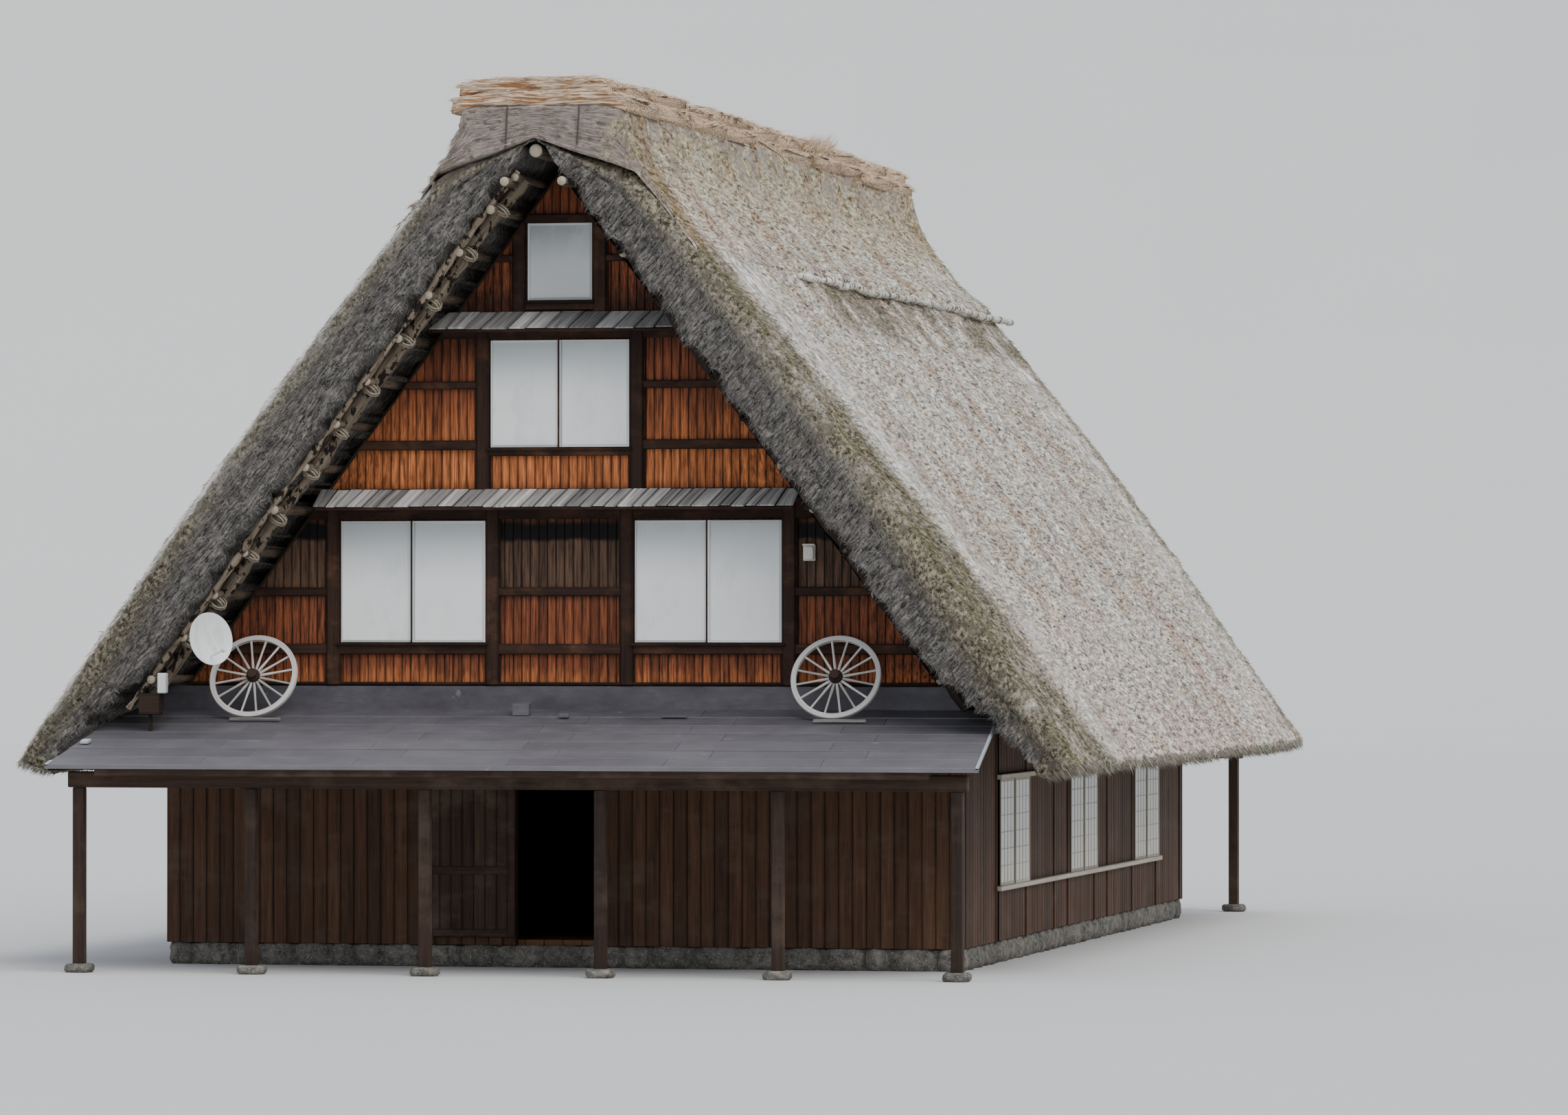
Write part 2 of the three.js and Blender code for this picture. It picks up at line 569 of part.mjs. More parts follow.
function gableEnd(side, turn) {
  const end = new THREE.Group();
  end.rotation.z = turn;
  model.add(end);
  const { lower_left, lower_right, middle, top } = WINDOWS;
  place(end, `${side}_boards_2`,
    storeyBoards(GABLE_FOOT, STOREY_Z[1] - GAP, [lower_left, lower_right]), 'boards');
  place(end, `${side}_boards_3`, storeyBoards(STOREY_Z[1], STOREY_Z[2] - GAP, [middle]), 'boards');
  place(end, `${side}_boards_4`, storeyBoards(STOREY_Z[2], BOARD_APEX, [top]), 'boards');
  place(end, `${side}_gable_frame`, gableFrame(), 'timber');
  for (const [name, window] of Object.entries(WINDOWS)) {
    place(end, `${side}_window_${name}`, windowLeaves(window), 'panel');
  }
  for (const [name, pent] of Object.entries(PENTS)) {
    place(end, `${side}_pent_${name}`, pentRoof(pent), 'shingle');
  }
  place(end, `${side}_porch_roof`, porchRoof(), 'metal');
  place(end, `${side}_porch_posts`, porchPosts(), 'timber');
  place(end, `${side}_porch_rafters`, porchRafters(), 'timber');
}

gableEnd('front', 0);
gableEnd('rear', Math.PI);
place(model, 'rear_wall',
  alongY(gableWallOutline(-SIDE_WALL_X, SIDE_WALL_X), wallY).rotateZ(Math.PI), 'boards');

// Old cart wheels: rim, hub and spokes, leaning back on the wall from the porch roof
function cartWheel() {
  const half = WHEEL.rimWidth / 2;
  const rim = new THREE.LatheGeometry([
    new THREE.Vector2(WHEEL.radius - WHEEL.rim, -half), new THREE.Vector2(WHEEL.radius, -half),
    new THREE.Vector2(WHEEL.radius, half), new THREE.Vector2(WHEEL.radius - WHEEL.rim, half),
    new THREE.Vector2(WHEEL.radius - WHEEL.rim, -half),
  ], 2 * WHEEL.spokes);
  const hub = new THREE.CylinderGeometry(WHEEL.hub, WHEEL.hub, WHEEL.hubLength, 12);
  const spokes = Array.from({ length: WHEEL.spokes }, (_, i) => {
    const bar = block(
      [-WHEEL.spoke / 2, WHEEL.spoke / 2], [-WHEEL.spoke / 2, WHEEL.spoke / 2],
      [WHEEL.hub - WHEEL.tenon, WHEEL.radius - WHEEL.rim + WHEEL.tenon]);
    return bar.rotateY((i + 0.5) * 2 * Math.PI / WHEEL.spokes);
  });
  return geometryOf(join([rim, hub, ...spokes]));
}

// The lowest corners of the leaning rim meet the porch roof, and its top meets the gable frame
function wheelSeat() {
  const half = WHEEL.rimWidth / 2;
  const sin = Math.sin(WHEEL_LEAN);
  const cos = Math.cos(WHEEL_LEAN);
  const reach = Math.max(WHEEL.radius * sin + half * cos, WHEEL.hubLength / 2);
  const y = -GABLE_Y - FRAME_PROUD - 2 * GAP - reach;
  const turns = Array.from({ length: 2 * WHEEL.spokes }, (_, i) => i * Math.PI / WHEEL.spokes);
  const drops = turns.flatMap((turn) => [-half, half].map((across) => {
    const up = WHEEL.radius * Math.cos(turn);
    const dy = across * cos + up * sin;
    const dz = -across * sin + up * cos;
    return dz - porchSlope * dy;
  }));
  const z = porchHeight(y) + 2 * GAP - Math.min(...drops);
  return { y, z };
}

const seat = wheelSeat();
for (const [side, x] of Object.entries(WHEEL_XS)) {
  const wheel = place(model, `cart_wheel_${side}`, cartWheel(), 'wheel');
  wheel.rotation.x = -WHEEL_LEAN;
  wheel.position.set(x, seat.y, seat.z);
}

// Dish on a short arm from the verge log
function dish() {
  const steps = 5;
  const inner = Array.from({ length: steps + 1 }, (_, i) => {
    const r = DISH.radius * i / steps;
    return new THREE.Vector2(r, DISH.deep * (r / DISH.radius) ** 2);
  });
  const outer = inner.map(({ x, y }) => new THREE.Vector2(x, y - DISH.thick)).reverse();
  return new THREE.LatheGeometry([...outer.reverse(), ...inner.reverse()], 24);
}

function dishNode() {
  const { half, hook, bite } = DISH_ARM;
  const bowl = dish().rotateX(Math.PI).rotateX(-DISH.tilt).rotateZ(DISH.turn)
    .translate(DISH.x, DISH.y, DISH.z);
  const height = [DISH.z - half, DISH.z + half];
  const arm = block([DISH.x - half, DISH.x + half], [DISH.y - bite, -VERGE_LOG_Y + hook], height);
  const bracket = block([vergeLogFaceX(DISH.z) + 2 * GAP, DISH.x + half],
    [-VERGE_LOG_Y - hook, -VERGE_LOG_Y + hook], height);
  return geometryOf(join([bowl, arm, bracket]));
}

// Where the lower face of the left verge log stands at a height
function vergeLogFaceX(z) {
  const low = INNER_APEX - (RAFTER_TOP + 2 * VERGE_LOG_RADIUS) / COS;
  return -(low - z - DISH_ARM.half) / Math.tan(PITCH);
}

place(model, 'satellite_dish', dishNode(), 'dish');

// Lamp box beside the right window
place(model, 'wall_lamp', block(
  [LAMP.x - LAMP.width / 2, LAMP.x + LAMP.width / 2], [-GABLE_Y - GAP - LAMP.deep, -GABLE_Y - GAP],
  [LAMP.z - LAMP.height / 2, LAMP.z + LAMP.height / 2]), 'dish');

export default model;
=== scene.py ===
import math

import bpy
import numpy as np
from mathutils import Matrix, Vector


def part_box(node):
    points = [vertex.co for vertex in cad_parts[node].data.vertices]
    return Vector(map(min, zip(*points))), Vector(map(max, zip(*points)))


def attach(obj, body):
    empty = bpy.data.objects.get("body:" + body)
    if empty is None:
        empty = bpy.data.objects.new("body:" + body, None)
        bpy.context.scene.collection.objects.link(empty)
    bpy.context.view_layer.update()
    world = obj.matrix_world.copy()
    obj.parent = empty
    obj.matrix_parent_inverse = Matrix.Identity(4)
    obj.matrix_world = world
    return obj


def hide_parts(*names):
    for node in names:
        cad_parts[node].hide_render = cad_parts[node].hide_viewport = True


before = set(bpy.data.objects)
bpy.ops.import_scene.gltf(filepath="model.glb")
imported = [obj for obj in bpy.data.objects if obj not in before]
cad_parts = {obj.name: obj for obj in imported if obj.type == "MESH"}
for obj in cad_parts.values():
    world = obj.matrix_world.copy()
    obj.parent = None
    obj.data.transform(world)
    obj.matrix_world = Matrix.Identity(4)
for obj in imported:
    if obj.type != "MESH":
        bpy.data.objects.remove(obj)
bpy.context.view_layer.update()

# The foundation is one course of rounded field stones, laid dry under the walls, on a core of
# packed earth. Each stone is about 0.4 m long and as wide as the course, and its top is level.
STONE_LENGTH = 0.42
STONE_RINGS = 9
STONE_SIDES = 14
STONE_SQUARENESS = 4.5
STONE_SWELL = 1.06
STONE_RISE = 1.12
COURSE_WIDTH = 0.32
EARTH_INSET = 0.05
EARTH_SINK = 0.01
chance = np.random.default_rng(41)


def held(value):
    """A value held between 0 and 1."""
    return np.clip(value, 0, 1)


def side_by_side(*values):
    """Places as one array, from their x, y and z, or other numbers that belong together."""
    return np.stack(np.broadcast_arrays(*values), axis=-1)


def unit(ways, least=0.0):
    """Directions divided by their own lengths, to which least is added where one may be 0."""
    return ways / (np.linalg.norm(ways, axis=-1, keepdims=True) + least)


def lumps(places, size, seed=0):
    """Soft random lumps from 0 to 1. Random numbers sit on the corners of cubes with that side,
    and a place mixes its cube's eight corners, weighted by f * f * (3 - 2 * f) on each axis."""
    cells = np.asarray(places) / size
    base = np.floor(cells).astype(np.int64)
    near = cells - base
    near = near * near * (3 - 2 * near)
    table = np.random.default_rng(seed).random(4096)
    spread = (73856093, 19349663, 83492791)
    total = 0
    for corner in np.ndindex(2, 2, 2):
        x, y, z = np.moveaxis((base + corner) * spread, -1, 0)
        total = total + table[(x ^ y ^ z) & 4095] * np.where(corner, near, 1 - near).prod(axis=-1)
    return total


def bumps(places, *kinds):
    """A surface's height from lumps of several kinds (height, size, seed, level): each adds its
    height times the part of the lumps above its level."""
    return sum(height * (lumps(places, size, seed) - level) for height, size, seed, level in kinds)


def tube_faces(rings, sides, count=1):
    """Faces of closed tubes: four-sided faces between each ring and the next, and one face over
    each end. The tubes' points follow each other, ring by ring."""
    grid = np.arange(rings * sides).reshape(rings, sides)
    turned = np.roll(grid, -1, axis=1)
    walls = np.stack([grid[:-1], turned[:-1], turned[1:], grid[1:]], axis=-1).reshape(-1, 4)
    ends = np.stack([grid[0, ::-1], grid[-1]])
    starts = np.arange(count)[:, None, None] * rings * sides
    return [(walls + starts).reshape(-1, 4), (ends + starts).reshape(-1, sides)]


def make_shape(points, faces, grain, **marks):
    """A shape as arrays: points (n, 3), face arrays, grain (n, 2) in metres across and along the
    fibres, and marks, each one number for each point."""
    points = np.asarray(points, float).reshape(-1, 3)
    spread = {key: np.broadcast_to(value, len(points)).astype(float) for key, value in marks.items()}
    return {"points": points, "faces": faces, "grain": np.reshape(grain, (-1, 2)), "marks": spread}


def moved(shape, x, y, z):
    """The shape with its points at other places."""
    return {**shape, "points": side_by_side(x, y, z)}


def gather(*shapes):
    """Several shapes as one: the points in a row, and the faces' point numbers moved along."""
    starts = np.cumsum([0] + [len(shape["points"]) for shape in shapes])
    keys = shapes[0]["marks"]
    return {
        "points": np.concatenate([shape["points"] for shape in shapes]),
        "faces": [face + start for shape, start in zip(shapes, starts) for face in shape["faces"]],
        "grain": np.concatenate([shape["grain"] for shape in shapes]),
        "marks": {key: np.concatenate([shape["marks"][key] for shape in shapes]) for key in keys},
    }


def add_piece(name, shape, finish, node=None, smooth=False):
    """Puts a shape into a mesh, gives it its finish, and lets it stand for its CAD node."""
    mesh = bpy.data.meshes.new(name)
    corners = np.concatenate([face.ravel() for face in shape["faces"]])
    sizes = np.concatenate([np.full(len(face), face.shape[1]) for face in shape["faces"]])
    mesh.vertices.add(len(shape["points"]))
    mesh.vertices.foreach_set("co", shape["points"].astype(np.float32).ravel())
    mesh.loops.add(len(corners))
    mesh.loops.foreach_set("vertex_index", corners.astype(np.int32))
    mesh.polygons.add(len(sizes))
    mesh.polygons.foreach_set("loop_start", (np.cumsum(sizes) - sizes).astype(np.int32))
    mesh.update(calc_edges=True)
    mesh.polygons.foreach_set("use_smooth", np.full(len(sizes), smooth))
    grain = mesh.uv_layers.new(name="grain")
    grain.data.foreach_set("uv", shape["grain"][corners].astype(np.float32).ravel())
    for key, value in shape["marks"].items():
        mesh.attributes.new(key, "FLOAT", "POINT").data.foreach_set("value", value.astype(np.float32))
    mesh.materials.append(finish.material)
    piece = bpy.data.objects.new(name, mesh)
    bpy.context.scene.collection.objects.link(piece)
    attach(piece, "root")
    if node:
        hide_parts(node)


class Finish:
    """One finish. Each method adds a step to its shader and returns what comes out of the step.
    Colours are red, green and blue as they are seen on a screen, 0 to 255."""

    def __init__(self, name, roughness, shine=0.25):
        self.material = bpy.data.materials.new(name)
        self.material.use_nodes = True
        self.tree = self.material.node_tree
        self.shader = self.tree.nodes["Principled BSDF"]
        self.shader.inputs["Roughness"].default_value = roughness
        self.shader.inputs["Specular IOR Level"].default_value = shine

    def step(self, kind, inputs, out=0, **settings):
        node = self.tree.nodes.new("ShaderNode" + kind)
        for key, value in settings.items():
            setattr(node, key, value)
        for key, value in inputs.items():
            if isinstance(value, bpy.types.NodeSocket):
                self.tree.links.new(value, node.inputs[key])
            else:
                node.inputs[key].default_value = value
        return node.outputs[out]

    def place(self):
        return self.step("TexCoord", {}, out="Object")

    def along_axis(self, axis):
        return self.step("SeparateXYZ", {"Vector": self.place()}, out=axis)

    def mark(self, name):
        return self.step("Attribute", {}, out="Fac", attribute_name=name)

    def noise(self, where, size, detail, shift):
        """Cloudy noise whose clouds measure size on each axis, in metres."""
        scale = tuple(1 / length for length in size)
        spot = self.step("Mapping", {"Vector": where, "Scale": scale, "Location": (shift,) * 3})
        return self.step("TexNoise", {"Vector": spot, "Scale": 1.0, "Detail": detail, "Roughness": 0.62})

    def clouds(self, size, detail=5.0, shift=0.0):
        """Noise in the space around the house. A single size holds for all three axes."""
        return self.noise(self.place(), size if isinstance(size, tuple) else (size,) * 3, detail, shift)

    def fibres(self, wide, long, detail=7.0, shift=0.0):
        """Noise in streaks that run along the grain."""
        return self.noise(self.step("UVMap", {}, uv_map="grain"), (wide, long, 1.0), detail, shift)

    def between(self, value, low, high):
        """0 where value is under low, 1 where it is over high, and even between them."""
        return self.step("MapRange", {"Value": value, "From Min": low, "From Max": high})

    def maths(self, how, first, second=0.0):
        return self.step("Math", {0: first, 1: second}, operation=how)

    def times(self, first, second):
        return self.maths("MULTIPLY", first, second)

    def weigh(self, first, share, second, other):
        """The first value times its share plus the second value times its own."""
        return self.maths("ADD", self.times(first, share), self.times(second, other))

    def off_half(self, value):
        """How far a value is from one half."""
        return self.maths("ABSOLUTE", self.maths("SUBTRACT", value, 0.5))

    def blend(self, amount, low, high, how="MIX"):
        """The low colour where amount is 0, the high one where it is 1, and mixes between. A colour as
        seen, from 0 to 255, is made linear: seen / 12.92 near black, else ((seen + 0.055) / 1.055)
        raised to 2.4, with seen as a part of 255."""
        tones = []
        for tone in (low, high):
            if isinstance(tone, tuple):
                seen = np.array(tone) / 255
                linear = np.where(seen < 0.04045, seen / 12.92, ((seen + 0.055) / 1.055) ** 2.4)
                tone = (*linear, 1.0)
            tones.append(tone)
        return self.step("Mix", {0: amount, 6: tones[0], 7: tones[1]}, out=2, data_type="RGBA",
                         blend_type=how)

    def over(self, value, low, high, under, upper):
        """The upper colour laid over the under one where the value goes from low to high."""
        return self.blend(self.between(value, low, high), under, upper)

    def stained(self, colour, stain):
        """A colour multiplied by another one."""
        return self.blend(1.0, colour, stain, "MULTIPLY")

    def shaded(self, colour, shade):
        """A colour times a brightness."""
        grey = self.step("CombineColor", {"Red": shade, "Green": shade, "Blue": shade})
        return self.stained(colour, grey)

    def tinted(self, low, high):
        """A brightness that differs from one timber to the next, from its tint mark."""
        return self.step("MapRange", {"Value": self.mark("tint"), "To Min": low, "To Max": high})

    def aged(self, colour, spread, dirt):
        """A timber's colour: brighter or darker within spread, and dirty along its long edges,
        unevenly along them."""
        rough = self.times(self.clouds((0.02, 0.02, 0.12), 3.0), 0.16)
        aside = self.maths("ADD", self.off_half(self.mark("across")), rough)
        edge = self.times(self.between(aside, 0.42, 0.58), dirt)
        return self.shaded(colour, self.times(self.tinted(*spread), self.maths("SUBTRACT", 1.0, edge)))

    def colour(self, value):
        self.tree.links.new(value, self.shader.inputs["Base Color"])

    def relief(self, height, depth):
        """Bumps as high as depth, in metres, where height is 1."""
        bump = self.step("Bump", {"Height": height, "Distance": depth, "Strength": 1.0})
        self.tree.links.new(bump, self.shader.inputs["Normal"])


def rounded_block(rows, sides, squareness, shut):
    """Points (rows, sides, 3) of a block with round edges: a direction on a ball divided by the
    n-th root of the sum of its parts' n-th powers. It stays open by the angle shut at both ends."""
    lat = np.linspace(shut, math.pi - shut, rows)[::-1, None]
    lon = np.linspace(0, 2 * math.pi, sides, endpoint=False)[None]
    ball = side_by_side(np.sin(lat) * np.cos(lon), np.sin(lat) * np.sin(lon), np.cos(lat))
    return ball / (np.abs(ball) ** squareness).sum(axis=-1, keepdims=True) ** (1 / squareness)


def boulders(centres, halves):
    """Stones with flat tops: blocks with round edges, and lumps that pull their surface in."""
    block = rounded_block(STONE_RINGS, STONE_SIDES, STONE_SQUARENESS, 0.1).reshape(-1, 3)[None]
    places = centres[:, None] + block * halves[:, None]
    pull = 0.86 + 0.2 * lumps(places, 0.11, 3)[..., None]
    places = centres[:, None] + block * halves[:, None] * pull
    places[..., 2] = np.clip(places[..., 2], 0.0, course_high[2])
    tint = np.repeat(chance.random(len(centres)), STONE_RINGS * STONE_SIDES)
    flat = places.reshape(-1, 3)
    faces = tube_faces(STONE_RINGS, STONE_SIDES, len(centres))
    return make_shape(flat, faces, flat[:, :2], tint=tint, end=0, across=0.5)


course_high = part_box("foundation")[1]
stone_centres = []
stone_halves = []
for along, reach, aside in (
        (1, course_high[1], course_high[0] - COURSE_WIDTH / 2),
        (0, course_high[0] - COURSE_WIDTH, course_high[1] - COURSE_WIDTH / 2)):
    for side in (-1, 1):
        cuts = np.cumsum(chance.uniform(0.6, 1.4, int(2 * reach / STONE_LENGTH)))
        cuts = np.concatenate([[0], cuts / cuts[-1]]) * 2 * reach - reach
        centre = np.full((len(cuts) - 1, 3), course_high[2] / 2)
        centre[:, along] = (cuts[1:] + cuts[:-1]) / 2
        centre[:, 1 - along] = side * aside
        half = np.full(centre.shape, COURSE_WIDTH / 2)
        half[:, along] = np.diff(cuts) / 2
        half[:, 2] = course_high[2] / 2 * STONE_RISE
        stone_centres.append(centre)
        stone_halves.append(half * STONE_SWELL)


def sawn(lows, highs, planed=0.006, tint=None):
    """Sawn timbers between pairs of corners, with their edges planed off. Each corner becomes
    three points, one on each face that meets there, set back from the edges of that face. The
    grain runs along the longest side, and across goes from 0 to 1 over the next longest."""
    lows, highs = np.atleast_2d(lows).astype(float), np.atleast_2d(highs).astype(float)
    signs = np.array(list(np.ndindex(2, 2, 2))) * 2 - 1
    half = (highs - lows) / 2
    planed = np.minimum(planed, half.min(axis=1) * 0.6)
    back = (1 - np.eye(3))[None, None] * planed[:, None, None, None]
    points = signs[None, :, None] * (half[:, None, None] - back) + ((lows + highs) / 2)[:, None, None]
    number = lambda axis, sign: 3 * (4 * (sign[0] > 0) + 2 * (sign[1] > 0) + (sign[2] > 0)) + axis
    quads, triangles = [], []
    for a in range(3):
        b, c = (a + 1) % 3, (a + 2) % 3
        for s in (-1, 1):
            ring = [(-1, -1), (1, -1), (1, 1), (-1, 1)][::s]
            quads.append([number(a, {a: s, b: u, c: v}) for u, v in ring])
            for t in (-1, 1):
                edge = [(b, -1), (b, 1), (a, 1), (a, -1)][::s * t]
                quads.append([number(face, {a: s, b: t, c: end}) for face, end in edge])
    for sign in signs:
        triangles.append([number(axis, sign) for axis in range(3)][::sign.prod()])
    starts = np.arange(len(lows))[:, None, None] * 24
    faces = [(np.array(part) + starts).reshape(-1, len(part[0])) for part in (quads, triangles)]
    along = points[np.arange(len(lows)), :, :, np.argmax(half, axis=1)]
    shift = chance.uniform(0, 30, (len(lows), 2))
    grain = np.stack([points.sum(axis=-1) - along + shift[:, :1, None], along + shift[:, 1:, None]], axis=-1)
    if tint is None:
        tint = chance.random(len(lows))
    across = np.repeat((signs[:, np.argsort(half, axis=1)[:, 1]].T + 1) / 2, 3, axis=1)
    tint = np.repeat(np.broadcast_to(tint, len(lows)), 24)
    return make_shape(points, faces, grain, tint=tint, end=0, across=across.ravel())


stone = Finish("field_stone", 0.92)
stone_clouds = stone.clouds(0.09, 8.0)
stone_base = stone.blend(stone.mark("tint"), (118, 114, 106), (158, 152, 141))
stone_worn = stone.over(stone_clouds, 0.35, 0.7, (78, 76, 72), stone_base)
stone.colour(stone.over(stone.clouds(0.02, 3.0), 0.55, 0.75, stone_worn, (176, 172, 160)))
stone.relief(stone_clouds, 0.02)
core = COURSE_WIDTH - 2 * EARTH_INSET
earth_x, earth_y = course_high[0] - EARTH_INSET, course_high[1] - EARTH_INSET
earth_top = course_high[2] - EARTH_SINK
earth_blocks = sawn(
    [(-earth_x, -earth_y, 0), (earth_x - core, -earth_y, 0),
     (core - earth_x + 0.01, -earth_y, 0), (core - earth_x + 0.01, earth_y - core, 0)],
    [(core - earth_x, earth_y, earth_top), (earth_x, earth_y, earth_top),
     (earth_x - core - 0.01, core - earth_y, earth_top), (earth_x - core - 0.01, earth_y, earth_top)],
    tint=0.0)
stones = boulders(np.concatenate(stone_centres), np.concatenate(stone_halves))
add_piece("foundation_stones", gather(stones, earth_blocks), stone, "foundation", smooth=True)

# The floors are planks on beams: one over the foundation and one for each attic storey. They
# are bare wood, darkened by smoke, and show only through the doorway.
FLOOR_PLANK = 0.22


def plank_lines(finish, width):
    """1 on the dark joint between planks that are width wide along X."""
    share = finish.maths("FRACT", finish.maths("DIVIDE", finish.along_axis(0), width))
    return finish.between(finish.off_half(share), 0.47, 0.49)


floor_boards = Finish("floor_planks", 0.7)
floor_fibres = floor_boards.clouds((0.03, 0.9, 0.05))
floor_joint = plank_lines(floor_boards, FLOOR_PLANK)
floor_brown = floor_boards.blend(floor_fibres, (74, 52, 36), (132, 98, 68))
floor_boards.colour(floor_boards.blend(floor_joint, floor_brown, (22, 15, 11)))
floor_boards.relief(floor_boards.maths("SUBTRACT", floor_fibres, floor_joint), 0.004)
for name in ("ground_floor", "floor_2", "floor_3", "floor_4"):
    floor_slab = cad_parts[name]
    floor_slab.data.materials.clear()
    floor_slab.data.materials.append(floor_boards.material)

# The ground storey has walls of upright planks between posts, under a wall plate that carries
# the rafters. The planks are butted, nailed to rails behind, and have gone dark brown.
WALL_X = 4.65
WALL_FACE = WALL_X - 0.012
WALL_DEEP = 0.138
WALL_PLANK = 0.16
WALL_POST = 0.14
POST_YS = np.arange(-7.4, 7.41, 1.85)
POST_CLEAR = 0.95
JOINT = 0.004
SIDE_PLATE = (4.43, 4.73, 2.64, 2.9)
SIDE_HOLES = [(y - 0.85, y + 0.85, 0.9, 2.1) for y in (-4.6, 0.0, 4.6)]


def wood_finish(name, dark, pale, roughness=0.75, depth=0.0025, worn=None, streak=0.012, spread=(0.7, 1.2)):
    """Bare or stained wood: long fibres along the grain, cloudy wear across several timbers,
    dirt along the edges, and every timber lighter or darker than the next, within spread."""
    finish = Finish(name, roughness)
    mixed = finish.weigh(finish.fibres(streak, 0.55), 0.55, finish.fibres(0.06, 1.6, 3.0, 5.0), 0.45)
    colour = finish.over(mixed, 0.3, 0.68, dark, pale)
    if worn:
        colour = finish.over(finish.clouds((0.5, 0.5, 0.35), 4.0), 0.5, 0.72, colour, worn)
    finish.colour(finish.aged(colour, spread, 0.35))
    finish.relief(mixed, depth)
    return finish


def plank_row(low, high, width, base, top, holes=()):
    """Upright planks side by side from low to high, up to 3 mm behind each other. Planks whose
    middle lies over a hole (low, high, base, top) are left out over its height. Returns pairs of
    corners as (along, how far behind, up)."""
    count = max(1, round((high - low) / width))
    edges = np.linspace(low, high, count + 1)
    sunk = chance.uniform(0, 0.003, count)
    lows = side_by_side(edges[:-1] + JOINT / 2, sunk, base)
    highs = side_by_side(edges[1:] - JOINT / 2, sunk, top)
    for low, high, base, top in holes:
        middle = (lows[:, 0] + highs[:, 0]) / 2
        hit = (middle > low) & (middle < high) & (lows[:, 2] < base) & (highs[:, 2] > top)
        under, over = highs[hit].copy(), lows[hit].copy()
        under[:, 2] = base
        over[:, 2] = top
        lows = np.concatenate([lows[~hit], lows[hit], over])
        highs = np.concatenate([highs[~hit], under, highs[hit]])
    return lows, highs


wall_wood = wood_finish("wall_planks", (44, 30, 23), (104, 74, 53), worn=(90, 72, 58))
side_low, side_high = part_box("right_wall")


def side_wall():
    """The right wall: planks, posts on its outer face and the wall plate on top."""
    lows, highs = plank_row(side_low[1], side_high[1], WALL_PLANK, side_low[2], SIDE_PLATE[2], SIDE_HOLES)
    plank_low = side_by_side(WALL_FACE - WALL_DEEP, lows[:, 0], lows[:, 2])
    plank_high = side_by_side(WALL_FACE - highs[:, 1], highs[:, 0], highs[:, 2])
    posts = [y for y in POST_YS if all(abs(y - (a + b) / 2) > POST_CLEAR for a, b, *_ in SIDE_HOLES)]
    posts += [edge for low, high, *_ in SIDE_HOLES for edge in (low - WALL_POST / 2, high + WALL_POST / 2)]
    posts = np.clip(sorted(posts), side_low[1] + WALL_POST / 2, side_high[1] - WALL_POST / 2)
    post_low = [(WALL_X - 0.1, y - WALL_POST / 2, side_low[2]) for y in posts]
    post_high = [(WALL_X + 0.004, y + WALL_POST / 2, SIDE_PLATE[2]) for y in posts]
    plate_low = [(SIDE_PLATE[0], side_low[1], SIDE_PLATE[2])]
    plate_high = [(SIDE_PLATE[1], side_high[1], SIDE_PLATE[3])]
    return sawn(np.concatenate([plank_low, post_low, plate_low]),
                np.concatenate([plank_high, post_high, plate_high]), 0.005)


def flip_x(shape):
    """The shape's mirror image across the house's middle, with its faces turned back outwards."""
    faces = [face[:, ::-1] for face in shape["faces"]]
    return {**shape, "points": shape["points"] * (-1, 1, 1), "faces": faces}


add_piece("right_wall_planks", side_wall(), wall_wood, "right_wall")
add_piece("left_wall_planks", flip_x(side_wall()), wall_wood, "left_wall")

# The gable walls of the ground storey follow the slope of the roof above the eaves. The front
# one has a doorway in its middle.
SLOPE = 1.329
PITCH = math.atan(SLOPE)
GABLE_Y = 7.6
BOARD_APEX = 9.0
DOORWAY = (-0.52, 0.52, 0.2503, 2.2)
WALL_FRONT = 0.002 - GABLE_Y
WALL_BACK = WALL_FRONT + 0.112


def under_gable(shape):
    """Lowers each point that stands above the gable's sloping edge to that edge."""
    x, y, z = shape["points"].T
    return moved(shape, x, y, np.minimum(z, BOARD_APEX - np.abs(x) * math.tan(PITCH)))


def gable_planks(low, high, width, base, top, holes, face, back, planed):
    """Upright planks of the front gable between face and back, cut off under its slopes."""
    lows, highs = plank_row(low, high, width, base, top, holes)
    inner = np.minimum(np.abs(lows[:, 0]), np.abs(highs[:, 0]))
    kept = BOARD_APEX - inner * math.tan(PITCH) > lows[:, 2] + 0.01
    lows, highs = lows[kept], highs[kept]
    return under_gable(sawn(side_by_side(lows[:, 0], face + highs[:, 1], lows[:, 2]),
                            side_by_side(highs[:, 0], back, highs[:, 2]), planed))


def turn_round(shape):
    """The shape turned half round, from the front gable to the rear one."""
    return {**shape, "points": shape["points"] * (-1, -1, 1)}


def add_at_both_ends(name, shape, finish, node=None, smooth=False):
    """Adds a piece at the front gable and the same piece, turned half round, at the rear one."""
    for end, made in (("front_", shape), ("rear_", turn_round(shape))):
        add_piece(end + name, made, finish, node and end + node, smooth)


wall_base, wall_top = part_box("front_wall_left")[0][2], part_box("front_wall_left")[1][2]
for name, low, high, base in (
        ("front_wall_left", -WALL_X, DOORWAY[0], wall_base),
        ("front_wall_right", DOORWAY[1], WALL_X, wall_base),
        ("front_wall_lintel", DOORWAY[0] + JOINT, DOORWAY[1] - JOINT, DOORWAY[3]),
        ("rear_wall", -WALL_X, WALL_X, wall_base)):
    wall = gable_planks(low, high, WALL_PLANK, base, wall_top, (), WALL_FRONT, WALL_BACK, 0.005)
    if name == "rear_wall":
        wall = turn_round(wall)
    add_piece(name + "_planks", wall, wall_wood, name)

